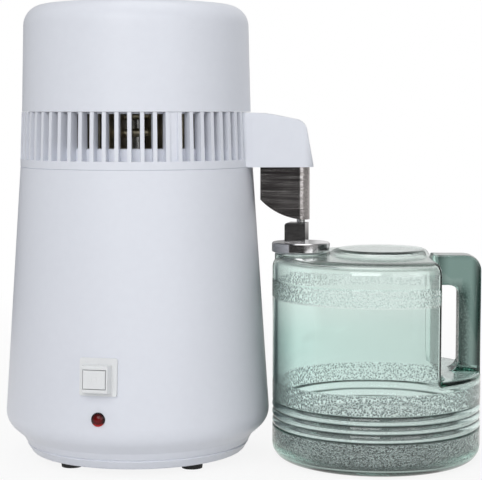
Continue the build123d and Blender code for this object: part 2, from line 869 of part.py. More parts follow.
# Vent ring and arm
head_screw_places = ring_places(head_screw_offset, head_screw_count, head_screw_angle, ring_floor_z)
dome_screw_places = ring_places(dome_screw_offset, dome_screw_count, dome_screw_angle, ring_floor_z)
rib_count = round((360 - 2 * first_rib_angle) / rib_pitch) + 1
slot_fill_w = slot_fill_out_r * radians(rib_pitch) - rib_t / 2


def arm_block(inset, floor_z):
    """Solid of the arm, moved inward on every side but its floor."""
    root = arm_root_w / 2 - inset
    waist = arm_waist_w / 2 - inset
    end = arm_end_w / 2 - inset
    with BuildSketch(level(floor_z)) as plan:
        Polygon(
            (arm_root_offset, -root),
            (arm_waist_offset, -waist),
            (arm_end_offset - inset, -end),
            (arm_end_offset - inset, end),
            (arm_waist_offset, waist),
            (arm_root_offset, root),
            align=None,
        )
        fillet(plan.vertices().group_by(Axis.X)[-1], arm_corner_r - inset)
    extrude(plan.sketch, amount=ring_top_z - floor_z)
    with BuildSketch(side_of(machine_x)) as side_view:
        with BuildLine():
            rise = FilletPolyline(
                (arm_end_offset - inset, floor_z),
                (arm_end_top_offset - inset, arm_nose_z - inset),
                (arm_waist_offset + arm_nose_r, ring_top_z - inset - 1),
                (arm_root_offset, ring_top_z - inset),
                radius=[arm_nose_r - inset, arm_back_r],
            )
            Polyline(rise @ 1, (arm_root_offset, floor_z), rise @ 0)
        make_face()
    extrude(side_view.sketch, amount=arm_root_w, both=True, mode=Mode.INTERSECT)


with BuildPart() as arm_outside:
    arm_block(0, arm_bottom_z)

with BuildPart() as arm_hollow:
    arm_block(arm_wall, arm_bottom_z)
    block(level(arm_bottom_z), 2 * shell_top_r, arm_root_w, band_top_z - arm_bottom_z, mode=Mode.SUBTRACT)

with BuildPart() as arm_lugs:
    for side in (-1, 1):
        lug_y = shield_w / 2 + play
        lug_reach = arm_root_w / 2 - lug_y
        lug_x = (shield_tab_from + shield_tab_to) / 2
        lug_place = shifted(level(arm_bottom_z + 2), lug_x, side * (lug_y + lug_reach / 2))
        block(lug_place, shield_tab_to - shield_tab_from, lug_reach, shield_tab_top_z - arm_bottom_z - 2)
    add(arm_outside.part, mode=Mode.INTERSECT)

# The coil's straight end crosses the ledge and the arm's root on its way to the outlet.
coil_stations = helix_points(coil_r, coil_end_angle, coil_bottom_z, coil_pitch, coil_turns)
coil_shift = level(0).origin
coil_stations = [(point + coil_shift, way) for point, way in coil_stations]
coil_bottom, coil_bottom_way = coil_stations[0]
coil_top, coil_top_way = coil_stations[-1]

with BuildPart() as vent_ring:
    turn(machine_x, [
        (ledge_r - ledge_wall, ring_floor_z),
        (ledge_r, ring_floor_z),
        (ledge_r, ledge_top_z - 1),
        (ledge_r - 1, ledge_top_z),
        (ledge_r - ledge_wall, ledge_top_z),
    ])
    with BuildSketch(level(band_top_z)):
        rib_middle_r = (rib_in_r + shell_top_r) / 2
        rib_range = 360 - 2 * first_rib_angle
        with PolarLocations(rib_middle_r, rib_count, first_rib_angle, rib_range, endpoint=True):
            Rectangle(shell_top_r - rib_in_r, rib_t)
    extrude(amount=ring_top_z - band_top_z)
    for place in head_screw_places:
        fill_depth = slot_fill_out_r - top_ring_in_r
        fill_place = shifted(place, (slot_fill_out_r + top_ring_in_r) / 2 - head_screw_offset)
        block(fill_place, fill_depth, slot_fill_w, ring_top_z - ring_floor_z)
        plate(place, column_r, ring_top_z - ring_floor_z)
    turn(machine_x, [
        (top_ring_in_r, ring_top_z - top_ring_t),
        (top_ring_out_r, ring_top_z - top_ring_t),
        (top_ring_out_r, ring_top_z),
        (top_ring_in_r, ring_top_z),
    ])
    turn(machine_x, [
        (shell_top_r, band_top_z),
        (rib_top_r, ring_top_z),
        (shell_top_r + 1, ring_top_z),
        (shell_top_r + 1, band_top_z),
    ], mode=Mode.SUBTRACT)
    add(arm_outside.part)
    add(arm_hollow.part, mode=Mode.SUBTRACT)
    plate(level(arm_bottom_z), shell_top_r - band_wall, ring_floor_z - arm_bottom_z, mode=Mode.SUBTRACT)
    passage = Plane(coil_bottom, z_dir=-coil_bottom_way)
    plate(passage, tube_r + passage_gap, outlet_run, mode=Mode.SUBTRACT)
    turn(machine_x, [
        (ring_floor_r, ring_floor_z),
        (shell_top_r - band_wall, ring_floor_z),
        (shell_top_r - band_wall, shell_top_z),
        (shell_top_r - seam_groove, shell_top_z),
        (shell_top_r, shell_top_z + seam_groove),
        (shell_top_r, band_top_z),
        (ring_floor_r, band_top_z),
    ])
    add(arm_lugs.part)
    for place in dome_screw_places:
        plate(place.offset(band_top_z - ring_floor_z), dome_boss_r, dome_boss_h)
        plate(place, screw_r + slip, dome_boss_h + band_top_z - ring_floor_z - 1, mode=Mode.SUBTRACT)
    for place in head_screw_places:
        plate(place, screw_head_r + play, screw_head_h + play, mode=Mode.SUBTRACT)
        plate(place, screw_r + slip, ring_top_z - ring_floor_z, mode=Mode.SUBTRACT)
    rivet_planes = []
    for side in (-1, 1):
        for step in (-1, 1):
            rivet_origin = (
                machine_x + rivet_offset + step * rivet_spacing / 2,
                axis_y + side * (shield_w / 2 - shield_t),
                rivet_z,
            )
            rivet_planes.append(Plane(rivet_origin, x_dir=(1, 0, 0), z_dir=(0, side, 0)))
    for place in rivet_planes:
        plate(place, rivet_r + slip, 3 * shield_t + 2, mode=Mode.SUBTRACT)
vent_ring.part.label = "vent_ring"
export_step(vent_ring.part, "parts/vent_ring.step")


def channel_outline(inset):
    """Outline of the spout shield seen from above, moved inward by the inset."""
    half = shield_w / 2 - inset
    back = shield_back_offset - inset
    nose = shield_nose_offset - inset
    with BuildSketch(level(arm_bottom_z)) as outline:
        Polygon((back, -half), (nose, -half), (nose, half), (back, half), align=None)
        fillet(outline.vertices().group_by(Axis.X)[-1], shield_nose_r - inset)
    return outline.sketch


with BuildPart() as spout_shield:
    shield_reach = shield_tip_z - arm_bottom_z
    extrude(channel_outline(0), amount=shield_reach)
    extrude(channel_outline(shield_t), amount=shield_reach, mode=Mode.SUBTRACT)
    with BuildSketch(side_of(machine_x)) as below:
        with BuildLine():
            curve = ThreePointArc(
                (shield_back_offset, shield_back_z),
                (shield_back_offset + shield_curve_x, shield_back_z - shield_curve_drop),
                (shield_nose_offset, shield_tip_z),
            )
            floor_z = shield_tip_z - shield_tip_gap
            Polyline(curve @ 1, (shield_nose_offset, floor_z), (shield_back_offset, floor_z), curve @ 0)
        make_face()
    extrude(below.sketch, amount=shield_w, both=True, mode=Mode.SUBTRACT)
    for side in (-1, 1):
        tab_y = side * (shield_w - shield_t) / 2
        tab_place = shifted(level(arm_bottom_z), (shield_tab_from + shield_tab_to) / 2, tab_y)
        block(tab_place, shield_tab_to - shield_tab_from, shield_t, shield_tab_top_z - arm_bottom_z)
    for place in rivet_planes:
        plate(place, rivet_r + slip, shield_t, mode=Mode.SUBTRACT)
spout_shield.part.label = "spout_shield"
export_step(spout_shield.part, "parts/spout_shield.step")

with BuildPart() as shield_rivets:
    for place in rivet_planes:
        plate(place, rivet_head_r, -rivet_head_t)
        plate(place, rivet_r, 3 * shield_t + 1)
shield_rivets.part.label = "shield_rivets"
export_step(shield_rivets.part, "parts/shield_rivets.step")

# Steam dome, its screws and the seal on the pot
with BuildPart() as steam_dome:
    neck_in = tube_r + slip
    turn(machine_x, [
        (gasket_out_r, gasket_top_z),
        (dome_shoulder_r, gasket_top_z),
        (dome_rise_r, dome_rise_z),
        (neck_in, dome_top_z),
        (neck_in, dome_neck_z),
        (neck_in + dome_t, dome_neck_z),
        (neck_in + dome_t, dome_top_z + dome_t),
        (dome_rise_r + dome_t / 3, dome_rise_z + dome_t),
        (dome_shoulder_r + dome_t / 3, ring_floor_z),
        (gasket_out_r, ring_floor_z),
    ])
    for place in dome_screw_places:
        plate(place, screw_r + slip, -dome_t, mode=Mode.SUBTRACT)
steam_dome.part.label = "steam_dome"
export_step(steam_dome.part, "parts/steam_dome.step")

with BuildPart() as dome_screws:
    for place in dome_screw_places:
        pan_head_screw(facing_down(place.offset(-dome_t)), dome_t + dome_boss_h)
dome_screws.part.label = "dome_screws"
export_step(dome_screws.part, "parts/dome_screws.step")

with BuildPart() as head_gasket:
    with BuildSketch(level(pot_flange_z)):
        Circle(gasket_out_r)
        Circle(gasket_in_r, mode=Mode.SUBTRACT)
    extrude(amount=gasket_top_z - pot_flange_z)
head_gasket.part.label = "head_gasket"
export_step(head_gasket.part, "parts/head_gasket.step")

# Condenser: riser, coil, fins and outlet tube


def tube_section(start, way):
    """Ring-shaped section of the tube, square to its way at the start."""
    with BuildSketch(Plane(start, z_dir=way)) as section:
        Circle(tube_r)
        Circle(tube_r - tube_wall, mode=Mode.SUBTRACT)
    return section.sketch


with BuildPart() as condenser_coil:
    with BuildLine():
        helix_arcs(coil_stations)
    sweep(tube_section(coil_bottom, coil_bottom_way))
condenser_coil.part.label = "condenser_coil"
export_step(condenser_coil.part, "parts/condenser_coil.step")
centred_stations = helix_points(coil_r, 0, 0, coil_pitch, coil_turns)
print("least gap between the coil's turns:", round(least_self_gap(centred_stations, tube_r, coil_turns), 2))

riser_foot = level(dome_top_z + dome_t).origin
riser_bend = coil_top + coil_top_way * riser_lead
with BuildPart() as steam_riser:
    with BuildLine():
        FilletPolyline(riser_foot, level(riser_bend.Z).origin, riser_bend, coil_top, radius=riser_bend_r)
    sweep(tube_section(riser_foot, (0, 0, 1)))
steam_riser.part.label = "steam_riser"
export_step(steam_riser.part, "parts/steam_riser.step")

outlet_bend = lid_level(coil_bottom_z - outlet_run * coil_slope).origin
with BuildPart() as outlet_tube:
    with BuildLine():
        FilletPolyline(coil_bottom, outlet_bend, lid_level(outlet_end_z).origin, radius=outlet_bend_r)
    sweep(tube_section(coil_bottom, -coil_bottom_way))
outlet_tube.part.label = "outlet_tube"
export_step(outlet_tube.part, "parts/outlet_tube.step")

fin_bottom = coil_bottom_z - fin_margin
fin_top = coil_bottom_z + coil_turns * coil_pitch + fin_margin
with BuildPart() as condenser_fins:
    for number in range(fin_count):
        angle = (number + 0.5) * 360 / fin_count
        past_end = (angle - coil_end_angle) % 360
        if past_end < fin_gap_after or past_end > 360 - fin_gap_before:
            continue
        outward = (cos(radians(angle)), sin(radians(angle)), 0)
        fin_plane = Plane(level(0).origin, x_dir=outward, z_dir=(outward[1], -outward[0], 0))
        with BuildSketch(fin_plane):
            with Locations(((fin_in_r + fin_out_r) / 2, (fin_bottom + fin_top) / 2)):
                Rectangle(fin_out_r - fin_in_r, fin_top - fin_bottom)
            for turn_number in range(coil_turns):
                hole_z = coil_bottom_z + coil_pitch * (past_end / 360 + turn_number)
                with Locations((coil_r, hole_z)):
                    Circle(tube_r + fin_hole_play, mode=Mode.SUBTRACT)
    extrude(amount=fin_t / 2, both=True)
condenser_fins.part.label = "condenser_fins"
export_step(condenser_fins.part, "parts/condenser_fins.step")

# Top cover


def cover_dome(inset):
    """Solid of the cover's outside, moved inward by the inset."""
    with BuildSketch(side_of(machine_x)) as outline:
        with BuildLine():
            rim = (cover_rim_r - inset, cover_rim_z)
            shoulder = (cover_top_r - inset, cover_side_z - inset)
            peak = (0, cover_top_z - inset)
            crown_rise = cover_top_z - cover_side_z
            crown_r = (shoulder[0] ** 2 + crown_rise**2) / (2 * crown_rise)
            Line(rim, shoulder)
            RadiusArc(shoulder, peak, -crown_r)
            Polyline(peak, (0, cover_rim_z), rim)
        make_face()
        fillet(outline.vertices().sort_by_distance(shoulder)[0], cover_corner_r - inset)
    revolve(outline.sketch, axis=upright(machine_x))


with BuildPart() as cover_envelope:
    cover_dome(0)

bracket_places = [shifted(level(motor_top_z), side * bracket_screw_spacing / 2) for side in (-1, 1)]
motor_places = [shifted(level(bracket_top_z), 0, side * motor_screw_spacing / 2) for side in (-1, 1)]
head_inlet_place = Plane((machine_x, axis_y + cover_rim_r, head_inlet_z), x_dir=(-1, 0, 0), z_dir=(0, 1, 0))
cover_columns = ring_places(head_screw_offset, head_screw_count, head_screw_angle, ring_top_z)
column_hole = head_screw_length + screw_head_h - (ring_top_z - ring_floor_z) + 1

with BuildPart() as cover_bosses:
    for place in bracket_places:
        plate(place.offset(bracket_t), bracket_boss_r, cover_top_z - bracket_top_z)
    for place in cover_columns:
        plate(place.offset(cover_rim_z - ring_top_z), column_r, cover_column_top - cover_rim_z)
    add(cover_envelope.part, mode=Mode.INTERSECT)

with BuildPart() as cover_space:
    cover_dome(cover_wall)

with BuildPart() as top_cover:
    add(cover_envelope.part)
    add(cover_space.part, mode=Mode.SUBTRACT)
    add(cover_bosses.part)
    for place in cover_columns:
        plate(place, column_r, cover_rim_z - ring_top_z)
        plate(place, screw_r + slip, column_hole, mode=Mode.SUBTRACT)
    for place in bracket_places:
        plate(place, screw_r + slip, bracket_t + bracket_screw_length - 1, mode=Mode.SUBTRACT)
    block(
        head_inlet_place.offset(-2 * cover_wall - 1),
        head_inlet_w - 2 * head_inlet_rim + play,
        head_inlet_h - 2 * head_inlet_rim + play,
        4 * cover_wall,
        mode=Mode.SUBTRACT,
    )
top_cover.part.label = "top_cover"
export_step(top_cover.part, "parts/top_cover.step")

with BuildPart() as head_screws:
    for place in head_screw_places:
        pan_head_screw(facing_down(place.offset(screw_head_h + play)), head_screw_length)
head_screws.part.label = "head_screws"
export_step(head_screws.part, "parts/head_screws.step")

# Fan, its motor and the bracket that hangs it from the cover
with BuildPart() as fan_shaft:
    plate(level(shaft_bottom_z), shaft_r, shaft_top_z - shaft_bottom_z)
    chamfer(fan_shaft.edges(), shaft_r / 5)
fan_shaft.part.label = "fan_shaft"
export_step(fan_shaft.part, "parts/fan_shaft.step")

with BuildPart() as fan:
    for number in range(fan_blades):
        angle = radians(360 * number / fan_blades)
        outward = Vector(cos(angle), sin(angle), 0)
        blade_plane = Plane(
            level(fan_z).origin + outward * fan_hub_r / 2,
            x_dir=(-outward.Y, outward.X, 0),
            z_dir=outward,
        )
        with BuildSketch(blade_plane):
            Rectangle(blade_chord, blade_t, rotation=blade_pitch)
    extrude(amount=fan_r)
    plate(level(fan_z - fan_hub_h), fan_r, 2 * fan_hub_h, mode=Mode.INTERSECT)
    plate(level(fan_z - fan_hub_h / 2), fan_hub_r, fan_hub_h)
    plate(level(shaft_bottom_z), shaft_r + slip, fan_hub_h, mode=Mode.SUBTRACT)
fan.part.label = "fan"
export_step(fan.part, "parts/fan.step")

with BuildPart() as fan_motor:
    plate(level(motor_bottom_z), motor_r, motor_h)
    chamfer(fan_motor.edges(), motor_edge)
    plate(level(motor_bottom_z), motor_nose_r, -motor_nose_h)
    nose_end = level(motor_bottom_z - motor_nose_h)
    plate(nose_end, shaft_r + slip, shaft_top_z - nose_end.origin.Z + 1, mode=Mode.SUBTRACT)
    for place in motor_places:
        plate(place, screw_r + slip, -motor_screw_length - 1, mode=Mode.SUBTRACT)
fan_motor.part.label = "fan_motor"
export_step(fan_motor.part, "parts/fan_motor.step")

with BuildPart() as motor_bracket:
    with BuildSketch(level(motor_top_z)):
        RectangleRounded(bracket_length, bracket_w, bracket_w / 3)
        Rectangle(bracket_w, motor_screw_spacing + bracket_w / 2)
    extrude(amount=bracket_t)
    for place in bracket_places:
        plate(place, screw_r + slip, bracket_t, mode=Mode.SUBTRACT)
    for place in motor_places:
        plate(place, screw_r + slip, -bracket_t, mode=Mode.SUBTRACT)
motor_bracket.part.label = "motor_bracket"
export_step(motor_bracket.part, "parts/motor_bracket.step")

with BuildPart() as bracket_screws:
    for place in bracket_places:
        pan_head_screw(facing_down(place), bracket_screw_length)
bracket_screws.part.label = "bracket_screws"
export_step(bracket_screws.part, "parts/bracket_screws.step")

with BuildPart() as motor_screws:
    for place in motor_places:
        pan_head_screw(place, motor_screw_length)
motor_screws.part.label = "motor_screws"
export_step(motor_screws.part, "parts/motor_screws.step")

# Head inlet
head_socket_floor = head_inlet_place.offset(head_inlet_rim / 2 - head_socket_depth)
with BuildPart() as head_inlet:
    block(head_inlet_place.offset(-head_inlet_rim), head_inlet_w, head_inlet_h, 1.5 * head_inlet_rim)
    fillet(head_inlet.edges().filter_by(Axis.Y), head_inlet_rim)
    add(cover_envelope.part, mode=Mode.SUBTRACT)
    block(
        head_inlet_place.offset(head_inlet_rim / 2),
        head_inlet_w - 2 * head_inlet_rim,
        head_inlet_h - 2 * head_inlet_rim,
        -head_inlet_depth,
    )
    with BuildSketch(head_socket_floor) as socket:
        RectangleRounded(head_socket_w, head_socket_h, head_inlet_rim)
    extrude(socket.sketch, amount=head_socket_depth, mode=Mode.SUBTRACT)
    for side in (-1, 1):
        seat = shifted(head_socket_floor, side * outlet_hole_spacing / 2)
        plate(seat, head_pin_r + slip, -head_inlet_depth, mode=Mode.SUBTRACT)
head_inlet.part.label = "head_inlet"
export_step(head_inlet.part, "parts/head_inlet.step")

with BuildPart() as head_pins:
    pin_back = head_inlet_depth - head_socket_depth + pin_tail
    for side in (-1, 1):
        seat = shifted(head_socket_floor, side * outlet_hole_spacing / 2)
        plate(seat.offset(-pin_back), head_pin_r, pin_back + head_pin_length)
head_pins.part.label = "head_pins"
export_step(head_pins.part, "parts/head_pins.step")

# Jug


def stepped_corner(radius, height, reach, start, steps):
    """Points on a quarter circle round (radius, height), from a start angle, in plain steps."""
    points = []
    for step in range(steps + 1):
        angle = radians(start + 90 * step / steps)
        points.append((radius + reach * cos(angle), height + reach * sin(angle)))
    return points


def jug_outside():
    """Outer shape of the jug's body before the handle's pocket is cut."""
    shoulder = (jug_r - jug_shoulder_r, jug_shoulder_z - jug_shoulder_r)
    ribs = [(jug_r, rib_band_z - rib_groove / 2), (jug_r - rib_groove, rib_band_z)]
    for number in range(rib_band_count):
        low = rib_band_z + number * rib_band_pitch
        ribs += [
            (jug_r + rib_crest, low + rib_flank_h),
            (jug_r + rib_crest, low + rib_band_pitch - rib_flank_h),
            (jug_r - rib_groove, low + rib_band_pitch),
        ]
    ribs.append((jug_r, rib_band_z + rib_band_count * rib_band_pitch + rib_groove / 2))
    turn(jug_x, [
        (0, jug_hollow_h),
        (jug_hollow_r, jug_hollow_h),
        (jug_hollow_r + jug_hollow_h, 0),
        *stepped_corner(jug_r - jug_corner_r, jug_corner_r, jug_corner_r, -90, outer_steps),
        *ribs,
        *stepped_corner(*shoulder, jug_shoulder_r, 0, outer_steps),
        (0, jug_top_z),
    ])


def plateau_outside():
    """Raised disc in the middle of the jug's top, rooted in the glass below."""
    plateau_base_z = jug_shoulder_z - glass / 2
    with BuildSketch(side_of(jug_x + plateau_shift)) as outline:
        with BuildLine():
            FilletPolyline(
                (plateau_foot_r, jug_shoulder_z),
                (plateau_top_r, plateau_top_z),
                (0, plateau_top_z),
                radius=plateau_edge_r,
            )
            Polyline(
                (0, plateau_top_z),
                (0, plateau_base_z),
                (plateau_foot_r, plateau_base_z),
                (plateau_foot_r, jug_shoulder_z),
            )
        make_face()
    revolve(outline.sketch, axis=upright(jug_x + plateau_shift))


with BuildPart() as jug_envelope:
    jug_outside()

pocket_depth = jug_r - pocket_offset + glass
pocket_middle = pocket_offset + pocket_depth / 2

# The finger hole reaches past the handle's root, so that only its outer corners are round.
finger_hole_w = strap_offset - pocket_offset + 2 * handle_hole_r
finger_hole_x = strap_offset - finger_hole_w / 2

with BuildPart() as jug_space:
    low_reach = jug_corner_r - glass
    high_reach = jug_shoulder_r - glass
    high_corner = (jug_r - jug_shoulder_r, jug_shoulder_z - jug_shoulder_r)
    turn(jug_x, [
        (0, jug_floor_t),
        *stepped_corner(jug_r - jug_corner_r, jug_floor_t + low_reach, low_reach, -90, inner_steps),
        *stepped_corner(*high_corner, high_reach, 0, inner_steps),
        (0, jug_top_z - glass),
    ])
    turn(jug_x + plateau_shift, [
        (0, jug_shoulder_z - glass),
        (plateau_foot_r - glass, jug_shoulder_z - glass),
        (plateau_top_r - glass, plateau_top_z - glass),
        (0, plateau_top_z - glass),
    ])
    pocket_floor = jug_level(ledge_z - glass)
    block(
        shifted(pocket_floor, pocket_middle - glass),
        pocket_depth,
        3 * jug_r,
        plateau_top_z - ledge_z + glass,
        mode=Mode.SUBTRACT,
    )
    plate(lid_level(jug_shoulder_z - 2 * glass), mouth_r, 4 * glass)

with BuildPart() as jug_glass:
    add(jug_envelope.part)
    plateau_outside()
    plate(lid_level(jug_shoulder_z - glass), mouth_neck_r, mouth_neck_z - jug_shoulder_z + glass)
    block(
        shifted(jug_level(ledge_z), pocket_middle),
        pocket_depth,
        3 * jug_r,
        plateau_top_z - ledge_z,
        mode=Mode.SUBTRACT,
    )
    add(jug_space.part, mode=Mode.SUBTRACT)
jug_glass.part.label = "jug_glass"
export_step(jug_glass.part, "parts/jug_glass.step")

# The handle stands on the pocket's ledge and meets its back wall, flush with the jug's outline.
with BuildPart() as jug_handle:
    with BuildSketch(side_of(jug_x)) as outline:
        Polygon(
            (pocket_offset, ledge_z),
            (jug_r, ledge_z),
            (jug_r, handle_top_z),
            (pocket_offset, handle_top_z),
            align=None,
        )
        fillet(outline.vertices().sort_by_distance((jug_r, handle_top_z))[0], handle_corner_r)
    extrude(outline.sketch, amount=handle_w / 2, both=True)
    add(jug_envelope.part, mode=Mode.INTERSECT)
    with BuildSketch(side_of(jug_x)) as finger_hole:
        with Locations((finger_hole_x, (ledge_z + handle_hole_top_z) / 2)):
            RectangleRounded(finger_hole_w, handle_hole_top_z - ledge_z, handle_hole_r)
    extrude(finger_hole.sketch, amount=handle_w, both=True, mode=Mode.SUBTRACT)
jug_handle.part.label = "jug_handle"
export_step(jug_handle.part, "parts/jug_handle.step")

# Jug lid, its seal, and the block that takes the outlet's drops
block_plane = Plane(
    (mouth_x + block_shift_x, axis_y + block_shift_y, lid_top_z),
    x_dir=(cos(radians(block_turn)), sin(radians(block_turn)), 0),
    z_dir=(0, 0, 1),
)
block_screw_places = []
half_spacing = block_screw_spacing / 2
for side in (-1, 1):
    block_screw_places.append(shifted(block_plane, -half_spacing, side * half_spacing))
plug_r = mouth_r - plug_gap

with BuildPart() as lid_gasket:
    with BuildSketch(lid_level(mouth_neck_z)):
        Circle(mouth_neck_r)
        Circle(mouth_r + plug_gap, mode=Mode.SUBTRACT)
    extrude(amount=gasket_t)
lid_gasket.part.label = "lid_gasket"
export_step(lid_gasket.part, "parts/lid_gasket.step")

with BuildPart() as jug_lid:
    plate(lid_level(lid_z), lid_r, lid_h)
    chamfer(jug_lid.faces().sort_by(Axis.Z)[-1].edges(), lid_edge)
    fillet(jug_lid.faces().sort_by(Axis.Z)[0].edges(), lid_edge)
    plate(lid_level(lid_z), plug_r, -plug_depth)
    plug_hollow_h = lid_h + plug_depth - lid_web
    plate(lid_level(lid_z - plug_depth), plug_r - plug_wall, plug_hollow_h, mode=Mode.SUBTRACT)
    plate(lid_level(lid_z), water_bore_r, lid_h, mode=Mode.SUBTRACT)
    for place in block_screw_places:
        plate(place, screw_r + slip, -lid_web, mode=Mode.SUBTRACT)
jug_lid.part.label = "jug_lid"
export_step(jug_lid.part, "parts/jug_lid.step")

with BuildPart() as inlet_block:
    block(block_plane, block_w, block_d, block_top_z - lid_top_z)
    top = inlet_block.faces().sort_by(Axis.Z)[-1]
    fillet(top.edges().sort_by(Axis.X)[0], block_edge_r)
    plate(lid_level(lid_top_z), water_bore_r, block_top_z - lid_top_z, mode=Mode.SUBTRACT)
    for place in block_screw_places:
        plate(place, screw_r + slip, block_screw_length - lid_web + 1, mode=Mode.SUBTRACT)
inlet_block.part.label = "inlet_block"
export_step(inlet_block.part, "parts/inlet_block.step")

with BuildPart() as block_screws:
    for place in block_screw_places:
        pan_head_screw(facing_down(place.offset(-lid_web)), block_screw_length)
block_screws.part.label = "block_screws"
export_step(block_screws.part, "parts/block_screws.step")
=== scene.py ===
"""Dresses the countertop water distiller: finishes, fine details, studio and camera."""
import json
import logging
import math
from dataclasses import dataclass
from enum import Enum
from typing import Sequence

import bmesh
import bpy
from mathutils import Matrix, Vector


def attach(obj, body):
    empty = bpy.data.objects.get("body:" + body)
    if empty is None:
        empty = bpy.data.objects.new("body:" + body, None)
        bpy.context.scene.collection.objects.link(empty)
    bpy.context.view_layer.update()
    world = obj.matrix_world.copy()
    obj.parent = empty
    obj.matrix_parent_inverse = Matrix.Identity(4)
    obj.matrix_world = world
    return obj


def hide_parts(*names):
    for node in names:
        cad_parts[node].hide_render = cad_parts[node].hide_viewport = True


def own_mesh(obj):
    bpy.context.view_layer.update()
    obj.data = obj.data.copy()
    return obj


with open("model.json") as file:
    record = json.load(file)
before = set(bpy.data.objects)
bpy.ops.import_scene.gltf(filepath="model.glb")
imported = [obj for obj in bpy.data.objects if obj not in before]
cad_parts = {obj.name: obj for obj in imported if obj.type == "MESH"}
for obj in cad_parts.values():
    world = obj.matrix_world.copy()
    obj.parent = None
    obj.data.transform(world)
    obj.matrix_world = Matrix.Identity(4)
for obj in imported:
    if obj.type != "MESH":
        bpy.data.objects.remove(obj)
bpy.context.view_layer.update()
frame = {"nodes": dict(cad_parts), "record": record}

log = logging.getLogger("distiller")

Number = float | int
Point = tuple[float, float, float]
Colour = tuple[float, float, float]
Span = tuple[float, float]
Profile = list[Span]

MM = 0.001
AXIS_Y = 5.3 * MM
JUG_X = 113.75 * MM
WHITE = (1.0, 1.0, 1.0)


class Body(Enum):
    """The bodies that this script's own pieces ride on."""

    BOILER = "boiler"
    BUTTON = "button"
    JUG = "jug"


class Cut(Enum):
    """How one mesh is put together with another."""

    JOIN = "UNION"
    REMOVE = "DIFFERENCE"


class Glow(Enum):
    """The shader that gives off light, for a surface or for the sky."""

    SURFACE = "ShaderNodeEmission"
    SKY = "ShaderNodeBackground"


class Room(Enum):
    """What metal and glass mirror: from, to and soft edge in degrees right of the front, and brightness."""

    SOFTBOX = (15.0, 47.0, 2.0, 2.0)
    LEFT_WALL = (-200.0, -61.0, 3.0, 0.30)
    DARK_GAP = (-33.0, -9.0, 3.0, -0.033)
    RIGHT_WALL = (50.0, 124.0, 3.0, -0.022)
    BACK_WALL = (129.0, 200.0, 5.0, 0.80)


class Wire:
    """A shader socket that takes part in Python arithmetic by adding Math nodes."""

    def __init__(self, board: "Board", socket: bpy.types.NodeSocket) -> None:
        """Keeps the board and the socket."""
        self.board = board
        self.socket = socket

    def _maths(self, operation: str, *values: "Wire | Number") -> "Wire":
        """The result of one Math node, whose inputs are given in order."""
        inputs = dict(enumerate(values))
        return self.board.out("ShaderNodeMath", {"operation": operation}, inputs)

    def __add__(self, other: "Wire | Number") -> "Wire":
        """Sum."""
        return self._maths("ADD", self, other)

    __radd__ = __add__

    def __sub__(self, other: "Wire | Number") -> "Wire":
        """Difference."""
        return self._maths("SUBTRACT", self, other)

    def __rsub__(self, other: "Wire | Number") -> "Wire":
        """Difference with the number first."""
        return self._maths("SUBTRACT", other, self)

    def __mul__(self, other: "Wire | Number") -> "Wire":
        """Product."""
        return self._maths("MULTIPLY", self, other)

    __rmul__ = __mul__

    def __pow__(self, other: "Wire | Number") -> "Wire":
        """Power."""
        return self._maths("POWER", self, other)

    def __gt__(self, other: "Wire | Number") -> "Wire":
        """One where this is greater, zero elsewhere."""
        return self._maths("GREATER_THAN", self, other)

    def clamp(self) -> "Wire":
        """Limits the value to the range from zero to one."""
        return self._maths("MINIMUM", self._maths("MAXIMUM", self, 0.0), 1.0)

    def angle(self, run: "Wire") -> "Wire":
        """The angle in radians whose rise is this value, for a given run."""
        return self._maths("ARCTAN2", self, run)

    def rise(self, low: float, high: float) -> "Wire":
        """Zero below low, one above high and an even slope between them."""
        return ((self - low) * (1.0 / (high - low))).clamp()

    def band(self, low: float, high: float, soft: float) -> "Wire":
        """One between low and high, with edges that fade by soft to both sides."""
        return self.rise(low - soft, low + soft) * (1.0 - self.rise(high - soft, high + soft))


